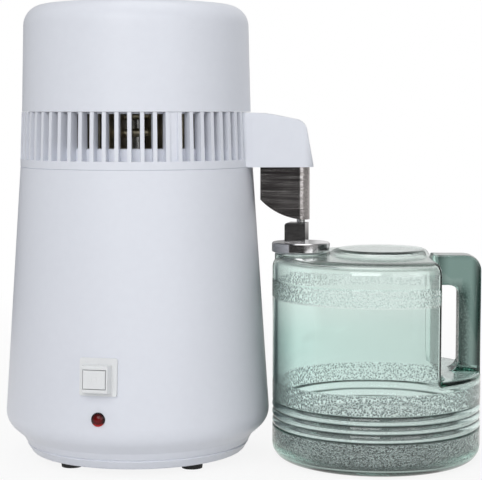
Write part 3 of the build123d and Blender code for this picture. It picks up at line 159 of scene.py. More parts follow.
class Board:
    """A node tree, with one method that makes every node."""

    def __init__(self, owner: bpy.types.Material | bpy.types.World) -> None:
        """Starts with an empty node tree.

        Args:
            owner: the material or world that the tree belongs to.
        """
        self.owner = owner
        owner.use_nodes = True
        self.tree = owner.node_tree
        self.tree.nodes.clear()

    @classmethod
    def material(cls, name: str) -> "Board":
        """Starts a new material's tree."""
        return cls(bpy.data.materials.new(name))

    def node(
        self,
        kind: str,
        settings: dict[str, object] | None = None,
        inputs: dict[int | str, object] | None = None,
    ) -> bpy.types.Node:
        """Makes one node, sets its options and fills or links its sockets.

        Args:
            kind: the node's type name.
            settings: its options by name.
            inputs: values or Wires by socket index or name.

        Returns:
            The node.
        """
        made = self.tree.nodes.new(kind)
        for option, value in (settings or {}).items():
            setattr(made, option, value)
        for key, value in (inputs or {}).items():
            socket = made.inputs[key]
            if isinstance(value, Wire):
                self.tree.links.new(value.socket, socket)
            elif socket.type == "RGBA":
                socket.default_value = (*value, 1.0)
            else:
                socket.default_value = value
        return made

    def out(
        self,
        kind: str,
        settings: dict[str, object] | None = None,
        inputs: dict[int | str, object] | None = None,
        output: int | str = 0,
    ) -> Wire:
        """Makes one node, in the way that node does, and gives one of its outputs."""
        return Wire(self, self.node(kind, settings, inputs).outputs[output])

    def place(self) -> Wire:
        """The point's place along its object's own axes, in metres."""
        return self.out("ShaderNodeTexCoord", output="Object")

    def part(self, vector: Wire, axis: str) -> Wire:
        """One coordinate of a vector: X, Y or Z."""
        return self.out("ShaderNodeSeparateXYZ", None, {0: vector}, axis)

    def stretched(self, scale: Point) -> Wire:
        """The point's place, scaled by its own amount along each axis."""
        return self.out("ShaderNodeVectorMath", {"operation": "MULTIPLY"}, {0: self.place(), 1: scale})

    def distance(self, x: float, y: float) -> Wire:
        """Level distance from an upright axis.

        Args:
            x: the axis's place along X.
            y: its place along Y.

        Returns:
            The distance in metres.
        """
        place = self.place()
        across = self.part(place, "X") - x
        along = self.part(place, "Y") - y
        return (across * across + along * along) ** 0.5

    def noise(self, scale: float, detail: float, vector: Wire | None = None) -> Wire:
        """Noise from zero to one, its scale in cycles per metre and its detail in octaves."""
        inputs = {"Vector": vector or self.place(), "Scale": scale, "Detail": detail}
        return self.out("ShaderNodeTexNoise", None, inputs)

    def blend(self, share: Wire, low: Colour | Wire, high: Colour | Wire) -> Wire:
        """Mixes two colours, by the share of the high one."""
        inputs = {0: share, 6: low, 7: high}
        return self.out("ShaderNodeMix", {"data_type": "RGBA"}, inputs, 2)

    def mix(self, share: Wire, first: Wire, second: Wire) -> Wire:
        """Mixes two shaders, by the share of the second one."""
        return self.out("ShaderNodeMixShader", None, {0: share, 1: first, 2: second})

    def glow(self, kind: Glow, strength: Wire | Number, colour: Colour = WHITE) -> Wire:
        """A shader that gives off light, for a surface or for the sky."""
        return self.out(kind.value, None, {"Color": colour, "Strength": strength})

    def rays(self, name: str) -> Wire:
        """One for rays of a kind: Camera, Glossy or Transmission."""
        return self.out("ShaderNodeLightPath", output=f"Is {name} Ray")

    def bump(self, height: Wire, depth: float, strength: float) -> Wire:
        """A normal bumped by a height from zero to one, where one stands for the depth in metres."""
        inputs = {"Height": height, "Distance": depth, "Strength": strength}
        return self.out("ShaderNodeBump", None, inputs)

    def surface(self, inputs: dict[int | str, object], volume: Wire | None = None) -> bpy.types.Material:
        """Ends the tree with a Principled shader.

        Args:
            inputs: the shader's sockets by name.
            volume: what fills the solid, if anything.

        Returns:
            The finished material.
        """
        shader = self.out("ShaderNodeBsdfPrincipled", None, inputs)
        links = {"Surface": shader}
        if volume:
            links["Volume"] = volume
        self.node("ShaderNodeOutputMaterial", None, links)
        return self.owner


@dataclass(frozen=True)
class MouldedPlastic:
    """Injection-moulded plastic with a fine spark-eroded grain and faint flow marks."""

    name: str
    colour: Colour
    shade: Colour
    roughness: float = 0.38
    grain: float = 1800.0
    flow: float = 9.0
    flow_stretch: Point = (1.0, 1.0, 0.35)
    dust: float = 160.0
    depth: float = 0.00002
    index: float = 1.46

    def make(self) -> bpy.types.Material:
        """Builds the material."""
        board = Board.material(self.name)
        grain = board.noise(self.grain, 3.0)
        flow = board.noise(self.flow, 2.0, board.stretched(self.flow_stretch))
        dust = board.noise(self.dust, 4.0)
        return board.surface({
            "Base Color": board.blend((flow * 0.6 + dust * 0.4).rise(0.3, 0.75), self.shade, self.colour),
            "Roughness": (grain * 0.10 + dust * 0.08 + (self.roughness - 0.09)).clamp(),
            "Normal": board.bump(grain, self.depth, 0.6),
            "IOR": self.index,
        })


@dataclass(frozen=True)
class BrushedSteel:
    """Stainless steel with fine lines along X."""

    name: str
    colour: Colour
    shade: Colour
    roughness: float
    fineness: float
    stretch: Point = (0.02, 1.0, 1.0)
    smudge: float = 45.0
    depth: float = 0.00001

    def make(self) -> bpy.types.Material:
        """Builds the material."""
        board = Board.material(self.name)
        lines = board.noise(self.fineness, 2.0, board.stretched(self.stretch))
        smudge = board.noise(self.smudge, 3.0)
        return board.surface({
            "Base Color": board.blend((lines * 0.7 + smudge * 0.3).rise(0.3, 0.7), self.shade, self.colour),
            "Metallic": 1.0,
            "Roughness": (lines * 0.16 + smudge * 0.08 + (self.roughness - 0.12)).clamp(),
            "Normal": board.bump(lines, self.depth, 0.5),
        })


@dataclass(frozen=True)
class PlainMetal:
    """Metal as it leaves the mill, the plating bath or the buffing wheel."""

    name: str
    colour: Colour
    shade: Colour
    roughness: float
    mottle: float = 60.0
    fine: float = 900.0
    depth: float = 0.000006

    def make(self) -> bpy.types.Material:
        """Builds the material."""
        board = Board.material(self.name)
        cloud = board.noise(self.mottle, 3.0)
        fine = board.noise(self.fine, 2.0)
        return board.surface({
            "Base Color": board.blend(cloud.rise(0.3, 0.7), self.shade, self.colour),
            "Metallic": 1.0,
            "Roughness": (cloud * 0.10 + fine * 0.06 + (self.roughness - 0.08)).clamp(),
            "Normal": board.bump(fine, self.depth, 0.3),
        })


@dataclass(frozen=True)
class SoftRubber:
    """Rubber or silicone with a dull, slightly dusty skin."""

    name: str
    colour: Colour
    dust: Colour
    roughness: float = 0.75
    speck: float = 220.0
    grain: float = 2400.0
    depth: float = 0.00003

    def make(self) -> bpy.types.Material:
        """Builds the material."""
        board = Board.material(self.name)
        speck = board.noise(self.speck, 5.0)
        grain = board.noise(self.grain, 2.0)
        return board.surface({
            "Base Color": board.blend(speck.rise(0.5, 0.9), self.colour, self.dust),
            "Roughness": (grain * 0.1 + (self.roughness - 0.05)).clamp(),
            "Normal": board.bump(grain, self.depth, 0.5),
        })


@dataclass(frozen=True)
class LampLens:
    """Dark red clear plastic, blackish at the rim, with a painted highlight at the lower edge, where light
    gathers.
    """

    name: str
    colour: Colour
    deep: Colour
    bright: Colour
    centre: Point
    radius: float
    roughness: float = 0.16
    streak: float = 900.0
    depth: float = 0.00002
    index: float = 1.35

    def make(self) -> bpy.types.Material:
        """Builds the material."""
        board = Board.material(self.name)
        place = board.place()
        across = board.part(place, "X") - self.centre[0]
        upward = board.part(place, "Z") - self.centre[2]
        out = (across * across + upward * upward) ** 0.5 * (1.0 / self.radius)
        streak = board.noise(self.streak, 2.0)
        body = board.blend((out.rise(0.35, 0.95) + streak * 0.15).clamp(), self.colour, self.deep)
        # Painted highlight: a bright crescent at the lens's lower edge, near the rim.
        low = (upward * (-1.0 / self.radius)).rise(0.45, 0.85) * out.rise(0.6, 0.8)
        return board.surface({
            "Base Color": board.blend(low, body, self.bright),
            "Roughness": (streak * 0.06 + self.roughness).clamp(),
            "IOR": self.index,
            "Normal": board.bump(streak, self.depth, 0.3),
        })


def shifted(span: Span, shift: float) -> Span:
    """A span moved by a distance."""
    return span[0] + shift, span[1] + shift


@dataclass(frozen=True)
class TintedGlass:
    """Pressed glass: smooth walls, pebbled bands, and a deeper tint where the glass is thick.

    The base colour carries painted shade and painted highlights: shaded and lit pebbles, dark
    groove lines, a dark foot, dark handle edges, a darker left edge, a grey top and right side, and
    a whiter upper wall and plateau. Heights are from the counter and reaches along X from the jug's
    axis, in metres. A shade fades in over its span, from nothing at the first value to its full
    share at the second one.
    """

    name: str
    tint: Colour
    density: float
    clear: Colour
    # The colours from here to the bands are painted light and shade: the handle's middle and its darker
    # edges, dark grooves and lowest band, shaded and lit pebbles, a grey top and right side, a dark foot,
    # and a whiter upper wall and plateau.
    bar_painted_shade: Colour
    deep: Colour
    pebble_painted_shade: Colour
    pebble_painted_highlight: Colour
    crown: Colour
    faint_painted_shade: Colour
    faint_painted_highlight: Colour
    foot: Colour
    rim: Colour
    bands: tuple[Span, ...]
    ribs: tuple[float, float, int]
    grip: Span
    index: float = 1.5
    skin_radius: float = 86.3 * MM
    pebble: float = 620.0
    wrinkle: float = 600.0
    contrast: Span = (0.42, 0.68)
    ripple: float = 24.0
    depth: float = 0.0003
    band_edge: float = 0.0008
    groove: Span = (-0.0009, 0.0009)
    groove_edge: float = 0.0006
    foot_height: Span = (0.005, 0.011)
    lowest_band: Span = (0.028, 0.030)
    lower_wall: Span = (0.028, 0.090)
    upper_wall: Span = (0.100, 0.135)
    left_edge: Span = (-0.088, -0.070)
    right_side: Span = (-0.075, 0.050)
    faint_height: Span = (0.120, 0.130)
    faint_reach: Span = (-0.080, -0.045)
    top_height: Span = (0.166, 0.172)
    plateau_shift: float = 4.0 * MM
    plateau_edge: Span = (0.042, 0.048)
    plateau_height: Span = (0.170, 0.172)
    dull_top: Span = (0.160, 0.168)
    dull_ledge: Span = (0.071, 0.078)
    dull_reach: Span = (0.030, 0.045)
    dull_edge: float = 0.001
    grip_face: Span = (-0.0012, 0.0012)
    grip_face_edge: float = 0.0006
    grip_height: Span = (0.084, 0.142)
    grip_end: float = 0.002
    bar_start: Span = (-0.0022, -0.0014)
    bar_foot: Span = (0.0775, 0.0785)
    arm_start: Span = (0.0500, 0.0510)
    arm_foot: Span = (0.1470, 0.1476)
    arm_root: Span = (0.052, 0.060)
    bar_top: Span = (0.1695, 0.1730)
    outer_edge: Span = (-0.0080, -0.0030)
    inner_edge: Span = (0.003, 0.011)
    inner_top: Span = (0.140, 0.152)

    def make(self) -> bpy.types.Material:
        """Builds the material."""
        board = Board.material(self.name)
        place = board.place()
        height = board.part(place, "Z")
        reach = board.part(place, "X") - JUG_X
        outside = board.distance(JUG_X, AXIS_Y) > self.skin_radius
        raised = 1.0 - board.distance(JUG_X + self.plateau_shift, AXIS_Y).rise(*self.plateau_edge)
        handle = self.handle(reach, height)
        grain = self.grain(board, place)
        mask = (self.belt(height) * outside * (1.0 - handle) + self.inner_grip(reach, height)).clamp()
        # Painted shade and painted highlights, laid over in turn: a grey right side, a darker left edge, a
        # whiter upper wall, shaded and lit pebbles, dark groove lines, a dark foot, a grey top, a white
        # plateau and the handle's painted shade.
        painted_shading = (
            (reach.rise(*self.right_side) * 0.3, self.crown),
            ((1.0 - reach.rise(*self.left_edge)) * 0.5, self.pebble_painted_shade),
            (height.rise(*self.upper_wall) * 0.6, self.rim),
            (mask, self.pebbled(board, reach, height, grain)),
            (self.grooves(height) * outside, self.deep),
            (1.0 - height.rise(*self.foot_height), self.foot),
            (height.rise(*self.top_height) * (1.0 - handle), self.crown),
            (height.rise(*self.plateau_height) * raised, self.rim),
            (handle, self.bar(board, reach, height, grain)),
        )
        # Painted highlight low on the wall, fading into the clear tint higher up.
        colour = board.blend(height.rise(*self.lower_wall), self.pebble_painted_highlight, self.clear)
        for share, shade in painted_shading:
            colour = board.blend(share, colour, shade)
        ledge = height.band(*self.dull_ledge, self.dull_edge) * reach.rise(*self.dull_reach)
        dull = (height.rise(*self.dull_top) + ledge).clamp() * (1.0 - handle)
        relief = grain * mask + board.noise(self.ripple, 1.0) * 0.4
        filled = {"Color": self.tint, "Density": self.density}
        return board.surface(
            {
                "Base Color": colour,
                "Roughness": (mask * 0.10 + dull * 0.14 + 0.004).clamp(),
                "Transmission Weight": 1.0,
                "IOR": self.index,
                "Normal": board.bump(relief, self.depth, 1.0),
            },
            board.out("ShaderNodeVolumeAbsorption", None, filled),
        )

    def grain(self, board: Board, place: Wire) -> Wire:
        """The pebbled pattern.

        Args:
            board: the material's tree.
            place: the point's place.

        Returns:
            Zero in the hollows, one on the pebbles.
        """
        inputs = {"Vector": place, "Scale": self.pebble, "Smoothness": 0.4}
        pebbles = board.out("ShaderNodeTexVoronoi", {"feature": "SMOOTH_F1"}, inputs)
        return (pebbles * 0.6 + board.noise(self.wrinkle, 2.0) * 0.6).rise(*self.contrast)

    def belt(self, height: Wire) -> Wire:
        """The heights that the pebbled bands cover."""
        belt: Wire | Number = 0.0
        for low, high in self.bands:
            belt = belt + height.band(low, high, self.band_edge)
        return belt

    def inner_grip(self, reach: Wire, height: Wire) -> Wire:
        """The handle's inner face, which is pebbled too."""
        face = reach.band(*shifted(self.grip_face, self.grip[0]), self.grip_face_edge)
        return face * height.band(*self.grip_height, self.grip_end)

    def pebbled(self, board: Board, reach: Wire, height: Wire, grain: Wire) -> Wire:
        """The bands' colour, painted shade and painted highlights on the pebbles: faint at the top right,
        and darkest in the lowest band.

        Args:
            board: the material's tree.
            reach: the point's place along X from the jug's axis.
            height: its height.
            grain: the pebbled pattern.

        Returns:
            The colour.
        """
        faint = height.rise(*self.faint_height) * reach.rise(*self.faint_reach)
        low = 1.0 - height.rise(*self.lowest_band)
        dark = board.blend(faint, board.blend(low, self.pebble_painted_shade, self.deep), self.faint_painted_shade)
        return board.blend(grain, dark, board.blend(faint, self.pebble_painted_highlight, self.faint_painted_highlight))

    def grooves(self, height: Wire) -> Wire:
        """Dark lines where the ribs' grooves bend the light away.

        Args:
            height: the point's height.

        Returns:
            The mask.
        """
        low, pitch, count = self.ribs
        lines: Wire | Number = 0.0
        for number in range(count + 1):
            lines = lines + height.band(*shifted(self.groove, low + pitch * number), self.groove_edge)
        return lines.clamp()

    def handle(self, reach: Wire, height: Wire) -> Wire:
        """Where the handle is, by reach from the jug's axis and by height."""
        upright = reach.rise(*shifted(self.bar_start, self.grip[0])) * height.rise(*self.bar_foot)
        return (upright + reach.rise(*self.arm_start) * height.rise(*self.arm_foot)).clamp()

    def bar(self, board: Board, reach: Wire, height: Wire, grain: Wire) -> Wire:
        """The handle's colour: painted shade, darkest along its edges, at its root and its top, and streaked
        between them.

        Args:
            board: the material's tree.
            reach: the point's place along X from the jug's axis.
            height: its height.
            grain: the pebbled pattern.

        Returns:
            The colour.
        """
        outer = reach.rise(*shifted(self.outer_edge, self.grip[1]))
        root = 1.0 - reach.rise(*self.arm_root)
        inner = 1.0 - reach.rise(*shifted(self.inner_edge, self.grip[0]))
        inner = inner * (1.0 - height.rise(*self.inner_top)) * (grain * 0.6 + 0.6)
        edge = (outer + root * 0.7 + height.rise(*self.bar_top) * 0.35 + inner).clamp()
        return board.blend(edge, self.bar_painted_shade, self.deep)


FINISHES = {
    "white_plastic": MouldedPlastic("white moulding", (0.80, 0.822, 0.885), (0.765, 0.785, 0.85)),
    "warm_white_plastic": MouldedPlastic("switch moulding", (0.84, 0.85, 0.86), (0.80, 0.81, 0.82), 0.3),
    "black_plastic": MouldedPlastic("black moulding", (0.035, 0.035, 0.037), (0.02, 0.02, 0.021), 0.5),
    "stainless_steel": PlainMetal("tube steel", (0.62, 0.62, 0.61), (0.50, 0.50, 0.50), 0.24),
    "polished_steel": BrushedSteel("lid steel", (0.74, 0.73, 0.74), (0.64, 0.63, 0.64), 0.13, 1800.0),
    "brushed_steel": BrushedSteel("shield steel", (0.74, 0.71, 0.70), (0.30, 0.28, 0.28), 0.17, 900.0),
    "green_glass": TintedGlass(
        name="green glass",
        tint=(0.48, 0.867, 0.767),
        density=30.0,
        clear=(0.80, 0.90, 0.875),
        bar_painted_shade=(0.32, 0.34, 0.335),
        deep=(0.03, 0.045, 0.042),
        pebble_painted_shade=(0.14, 0.175, 0.175),
        pebble_painted_highlight=(0.95, 0.98, 0.98),
        crown=(0.74, 0.74, 0.725),
        faint_painted_shade=(0.66, 0.72, 0.71),
        faint_painted_highlight=(1.0, 1.0, 1.0),
        foot=(0.035, 0.045, 0.045),
        rim=(0.98, 0.98, 0.97),
        bands=((0.008, 0.0285), (0.051, 0.067), (0.138, 0.152)),
        ribs=(0.029, 0.007, 3),
        grip=(0.0695, 0.0880),
    ),
    "black_rubber": SoftRubber("foot rubber", (0.018, 0.018, 0.018), (0.08, 0.08, 0.08)),
    "red_lens": LampLens(
        name="lamp red",
        colour=(0.15, 0.002, 0.003),
        deep=(0.008, 0.0005, 0.001),
        bright=(0.55, 0.005, 0.005),
        centre=(-0.1087, 0.0, 0.0515),
        radius=5.6 * MM,
    ),
    "aluminium": PlainMetal("mill aluminium", (0.72, 0.66, 0.51), (0.46, 0.42, 0.33), 0.42),
    "brass": PlainMetal("nickelled brass", (0.72, 0.66, 0.50), (0.60, 0.54, 0.40), 0.25),
    "zinc_plated_steel": PlainMetal("zinc plating", (0.55, 0.56, 0.58), (0.44, 0.45, 0.47), 0.35),
    "spring_steel": PlainMetal("spring wire", (0.40, 0.40, 0.42), (0.30, 0.30, 0.31), 0.25),
    "silicone_seal": SoftRubber("pale seal", (0.72, 0.76, 0.78), (0.80, 0.83, 0.85), 0.5),
}


def link(name: str, data: bpy.types.ID) -> bpy.types.Object:
    """Makes an object and puts it in the scene.

    Args:
        name: its name.
        data: its mesh, camera or light.

    Returns:
        The object.
    """
    made = bpy.data.objects.new(name, data)
    bpy.context.scene.collection.objects.link(made)
    return made


class Wardrobe:
    """Makes each finish once and dresses nodes and pieces with it."""

    def __init__(self) -> None:
        """Makes every finish."""
        self.materials = {slot: finish.make() for slot, finish in FINISHES.items()}

    def dress(self, piece: bpy.types.Object, slot: str) -> None:
        """Gives a piece the finish of one of the record's slots."""
        piece.data.materials.clear()
        piece.data.materials.append(self.materials[slot])

    def dress_nodes(self) -> None:
        """Dresses every CAD node in the finish that the record names for it."""
        for row in frame["record"]["subparts"]:
            node = frame["nodes"][row["node"]]
            self.dress(node, row["material_slot"])
            log.info("dressed %s in %s", row["node"], row["material_slot"])


@dataclass
class Workshop:
    """Turns points and faces into pieces that ride, carry a finish and show in the log."""

    wardrobe: Wardrobe
    weld: float = 0.02
    sliver: float = 0.01

    def loose(self, name: str, points: Sequence[Point], faces: Sequence[Sequence[int]]) -> bpy.types.Object:
        """Makes a bare object from points in millimetres.

        Args:
            name: its name.
            points: its corners.
            faces: its faces, as corner numbers.

        Returns:
            The object, in metres, with its doubled corners joined.
        """
        shape = bmesh.new()
        corners = [shape.verts.new(Vector(point) * MM) for point in points]
        for face in faces:
            shape.faces.new([corners[number] for number in face])
        bmesh.ops.remove_doubles(shape, verts=shape.verts, dist=self.weld * MM)
        bmesh.ops.dissolve_degenerate(shape, edges=shape.edges, dist=self.sliver * MM)
        bmesh.ops.recalc_face_normals(shape, faces=shape.faces)
        mesh = bpy.data.meshes.new(name)
        shape.to_mesh(mesh)
        shape.free()
        return link(name, mesh)

    def settle(self, made: bpy.types.Object) -> None:
        """Writes an object's modifiers into its mesh.

        Args:
            made: the object.
        """
        graph = bpy.context.evaluated_depsgraph_get()
        fresh = bpy.data.meshes.new_from_object(made.evaluated_get(graph))
        made.modifiers.clear()
        made.data = fresh

    def combine(self, made: bpy.types.Object, tool: bpy.types.Object, how: Cut) -> None:
        """Joins a tool to an object or removes it, and deletes the tool.

        Args:
            made: the object that stays.
            tool: the other one.
            how: what is done with it.
        """
        cut = made.modifiers.new("cut", "BOOLEAN")
        cut.operation = how.value
        cut.solver = "EXACT"
        cut.object = tool
        self.settle(made)
        bpy.data.objects.remove(tool)

    def smooth(self, made: bpy.types.Object, limit: float = 35.0) -> None:
        """Shades faces smooth and keeps edges sharper than the limit.

        Args:
            made: the object.
            limit: the angle in degrees.
        """
        shape = bmesh.new()
        shape.from_mesh(made.data)
        for face in shape.faces:
            face.smooth = True
        for edge in shape.edges:
            edge.smooth = len(edge.link_faces) == 2 and edge.calc_face_angle(0.0) < math.radians(limit)
        shape.to_mesh(made.data)
        shape.free()

    def finish(self, made: bpy.types.Object, slot: str, body: Body, stands_for: Sequence[str] = ()) -> None:
        """Smooths and dresses a piece, hangs it on its body and hides the CAD nodes that it replaces.

        Args:
            made: the piece.
            slot: its material slot in the record.
            body: what it rides on.
            stands_for: the CAD nodes that it replaces.
        """
        self.smooth(made)
        self.wardrobe.dress(made, slot)
        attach(made, body.value)
        if stands_for:
            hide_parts(*stands_for)
        log.info("piece %s on %s, %d faces", made.name, body.value, len(made.data.polygons))


def ease(value: float, low: float, high: float) -> float:
    """Smooth step from zero at low to one at high."""
    share = min(max((value - low) / (high - low), 0.0), 1.0)
    return share * share * (3.0 - 2.0 * share)


def arc(x: float, z: float, radius: float, start: float, end: float, steps: int) -> Profile:
    """An arc in a profile, round (x, z), from one angle in degrees to another."""
    angles = [math.radians(start + (end - start) * step / steps) for step in range(steps + 1)]
    return [(x + radius * math.cos(angle), z + radius * math.sin(angle)) for angle in angles]


def tube_faces(rings: int, size: int) -> list[Sequence[int]]:
    """Faces of a closed tube, with a cap at each end.

    Args:
        rings: how many rings of corners it has.
        size: how many corners each ring has.

    Returns:
        The faces, as corner numbers.
    """
    last = (rings - 1) * size
    faces: list[Sequence[int]] = [tuple(range(size)), tuple(range(last, last + size))]
    for ring in range(rings - 1):
        here, there = ring * size, (ring + 1) * size
        for side in range(size):
            after = (side + 1) % size
            faces.append((here + side, here + after, there + after, there + side))
    return faces


@dataclass
class Jug:
    """Pressed glass jug with its handle's pocket, raised top, neck and mouth, in millimetres."""

    shop: Workshop
    radius: float = 88.0
    wall: float = 4.0
    floor: float = 6.0
    floor_rings: tuple[float, ...] = (0.0, 30.0, 60.0)
    hollow_rings: tuple[float, ...] = (0.0, 30.0, 50.0)
    hollow_radius: float = 54.0
    hollow_height: float = 3.0
    foot_ring: tuple[Span, ...] = ((56.5, 0.8), (58.0, 0.05), (64.0, 0.0))
    corner: float = 13.0
    rows: tuple[float, float, float] = (20.0, 60.0, 100.0)
    inner_rows: tuple[float, float, float, float] = (30.0, 50.0, 100.0, 140.0)
    rib_foot: float = 29.0
    rib_pitch: float = 7.0
    rib_count: int = 3
    rib_groove: float = 1.1
    rib_rise: float = 1.3
    rib_edge: float = 0.8
    rib_steps: int = 8
    rib_power: float = 0.75
    band_rise: float = 0.18
    band_edge: float = 0.5
    band: Span = (138.0, 152.0)
    ledge: float = 76.0
    ledge_edge: float = 3.0
    ledge_hollow: float = 9.0
    ledge_inner_edge: float = 2.0
    ledge_depth: float = 6.0
    pocket: float = 49.5
    pocket_edge: float = 2.0
    pocket_cosine: float = 0.3
    pocket_corner: float = 48.5
    coarse_step: float = 3.0
    fine_step: float = 0.7
    fine_count: int = 21
    shoulder: float = 172.6
    shoulder_radius: float = 10.0
    crown: float = 2.0
    plateau_shift: float = 4.0
    plateau_foot: float = 47.0
    plateau_top: float = 36.0
    plateau_height: float = 178.2
    neck_radius: float = 22.0
    neck_height: float = 174.15
    neck_edge: float = 1.2
    mouth_radius: float = 17.0
    mouth_cut: Span = (160.0, 190.0)
    mouth_shift: float = -64.1
    handle_width: float = 28.0
    handle_outer: float = 87.7
    handle_inner: float = 69.5
    handle_top: float = 173.6
    handle_corner: float = 13.0
    hole_top: float = 148.6
    hole_corner: float = 8.5
    handle_edge: float = 3.2
    handle_slices: tuple[float, ...] = (-1.0, -0.6, -0.2, 0.2, 0.6, 1.0)
    bevel_angle: float = 50.0
    sunk: float = 2.5
    top_rings: int = 56
    guard: float = 0.7

    def angles(self) -> list[float]:
        """Angles round the jug, closer together where the pocket's corners are."""
        coarse = [step * self.coarse_step for step in range(round(360.0 / self.coarse_step))]
        near = [self.pocket_corner + step * self.fine_step for step in range(self.fine_count)]
        fine = [side * angle % 360.0 for side in (-1, 1) for angle in near]
        kept = sorted(set(round(angle, 3) for angle in coarse + fine))
        return [math.radians(angle) for angle in kept]

    def upper_radius(self, angle: float) -> float:
        """Outline above the ledge: the circle, cut by the pocket's back wall.

        Args:
            angle: the direction from the jug's axis.

        Returns:
            The distance from the axis.
        """
        run = math.cos(angle)
        if run < self.pocket_cosine:
            return self.radius
        chord = self.pocket / run
        share = min(max(0.5 + 0.5 * (chord - self.radius) / self.pocket_edge, 0.0), 1.0)
        mixed = chord + (self.radius - chord) * share
        return mixed - self.pocket_edge * share * (1.0 - share)

    def step(self, outer: float, inner: float, height: float, edge: float, hollow: float) -> Profile:
        """Profile from the lower side over the ledge to the wall behind it.

        Args:
            outer: the lower side's radius.
            inner: the wall's radius.
            height: the ledge's height.
            edge: the radius of its rim.
            hollow: the radius where it meets the wall.

        Returns:
            Points that close up into a straight side where there is no ledge.
        """
        depth = outer - inner
        rim = min(edge, depth / 2)
        fillet = min(hollow, depth / 2)
        bent = arc(outer - rim, height - rim, rim, 0, 90, 4)
        bent += arc(inner + fillet, height + fillet, fillet, 270, 180, 7)
        low, high = height - edge, height + hollow
        share = ease(depth, 0.0, self.ledge_depth)
        points = []
        for number, (x, z) in enumerate(bent):
            plain = low + (high - low) * number / (len(bent) - 1)
            points.append((x, plain + (z - plain) * share))
        return points

    def top_height(self, x: float, y: float) -> float:
        """Height of the jug's top over a place measured from its axis."""
        slope = self.shoulder + self.crown * (1.0 - math.hypot(x, y) / self.radius)
        share = 1.0 - ease(math.hypot(x - self.plateau_shift, y), self.plateau_top, self.plateau_foot)
        return slope + (self.plateau_height - slope) * share

    def outside(self, angle: float) -> list[Point]:
        """The outer surface's points at one angle, from the foot's middle to the top's middle."""
        upper = self.upper_radius(angle)
        foot_row, rib_row, wall_row = self.rows
        side = [(x, self.hollow_height) for x in self.hollow_rings]
        side += [(self.hollow_radius, self.hollow_height * 0.8), *self.foot_ring]
        side += arc(self.radius - self.corner, self.corner, self.corner, 270, 360, 9)
        side += [(self.radius, foot_row), (self.radius, self.rib_foot - self.rib_edge)]
        for number in range(self.rib_count):
            for part in range(self.rib_steps):
                swell = abs(math.sin(math.pi * part / self.rib_steps)) ** self.rib_power
                height = self.rib_foot + self.rib_pitch * (number + part / self.rib_steps)
                side.append((self.radius - self.rib_groove + self.rib_rise * swell, height))
        top_rib = self.rib_foot + self.rib_pitch * self.rib_count
        side += [(self.radius - self.rib_groove, top_rib), (self.radius, top_rib + self.rib_edge)]
        side += [(self.radius, rib_row)]
        side += self.step(self.radius, upper, self.ledge, self.ledge_edge, self.ledge_hollow)
        low, high = self.band
        proud = upper + self.band_rise
        side += [(upper, wall_row), (upper, low - self.band_edge)]
        side += [(proud, low), (proud, high), (upper, high + self.band_edge)]
        bend = self.shoulder_radius
        side += arc(upper - bend, self.shoulder - bend, bend, 0, 90, 8)
        return self.placed(angle, side, upper - bend, 0.0)

    def inside(self, angle: float) -> list[Point]:
        """The inner surface's points at one angle, from the floor's middle to the top's middle."""
        upper = self.upper_radius(angle) - self.wall
        outer = self.radius - self.wall
        reach = self.corner - self.wall
        corner_row, rib_row, wall_row, band_row = self.inner_rows
        side = [(x, self.floor) for x in self.floor_rings]
        side += arc(outer - reach, self.floor + reach, reach, 270, 360, 6)
        side += [(outer, corner_row), (outer, rib_row)]
        hollow = self.ledge_hollow + self.wall
        side += self.step(outer, upper, self.ledge - self.wall, self.ledge_inner_edge, hollow)
        side += [(upper, wall_row), (upper, band_row)]
        bend = self.shoulder_radius - self.wall
        side += arc(upper - bend, self.shoulder - self.shoulder_radius, bend, 0, 90, 6)
        return self.placed(angle, side, upper - bend, self.wall)

    def placed(self, angle: float, side: Profile, edge: float, drop: float) -> list[Point]:
        """Adds the top's points to a side profile and turns it to its angle.

        Args:
            angle: the direction from the jug's axis.
            side: the profile as (distance, height).
            edge: where the top starts.
            drop: how far the surface lies below the outer one.

        Returns:
            The points, placed on the jug's axis.
        """
        east, north = math.cos(angle), math.sin(angle)
        points = [(x * east, x * north, z) for x, z in self.guarded(side)]
        for ring in range(1, self.top_rings + 1):
            x = edge * (1.0 - ring / self.top_rings)
            points.append((x * east, x * north, self.top_height(x * east, x * north) - drop))
        return [(JUG_X / MM + x, AXIS_Y / MM + y, z) for x, y, z in points]

    def guarded(self, side: Profile) -> Profile:
        """Adds a point near both ends of each tall straight piece, so that shading bends only there.

        Args:
            side: a profile as (distance, height).

        Returns:
            The profile with the added points.
        """
        kept = side[:1]
        for (x, low), (u, high) in zip(side, side[1:]):
            if abs(high - low) > 6 * self.guard:
                share = self.guard / abs(high - low)
                kept.append((x + (u - x) * share, low + (high - low) * share))
                kept.append((u - (u - x) * share, high - (high - low) * share))
            kept.append((u, high))
        return kept

    def shell(self, name: str, lines: list[list[Point]]) -> bpy.types.Object:
        """Closed surface through profile lines that go round the axis.

        Args:
            name: the object's name.
            lines: one line of points for each angle.

        Returns:
            The object.
        """
        count, length = len(lines), len(lines[0])
        points = [point for line in lines for point in line]
        faces = []
        for number in range(count):
            here, there = number * length, (number + 1) % count * length
            for row in range(length - 1):
                faces.append((here + row, there + row, there + row + 1, here + row + 1))
        return self.shop.loose(name, points, faces)

    def turned(self, name: str, x: float, profile: Profile, count: int = 64) -> bpy.types.Object:
        """Closed lathe shape on an upright axis.

        Args:
            name: the object's name.
            x: the axis's place along X.
            profile: (distance, height) from the axis's foot to its top.
            count: how many sides it has.

        Returns:
            The object.
        """
        lines = []
        for number in range(count):
            angle = 2 * math.pi * number / count
            east, north = math.cos(angle), math.sin(angle)
            lines.append([(x + r * east, AXIS_Y / MM + r * north, z) for r, z in profile])
        return self.shell(name, lines)

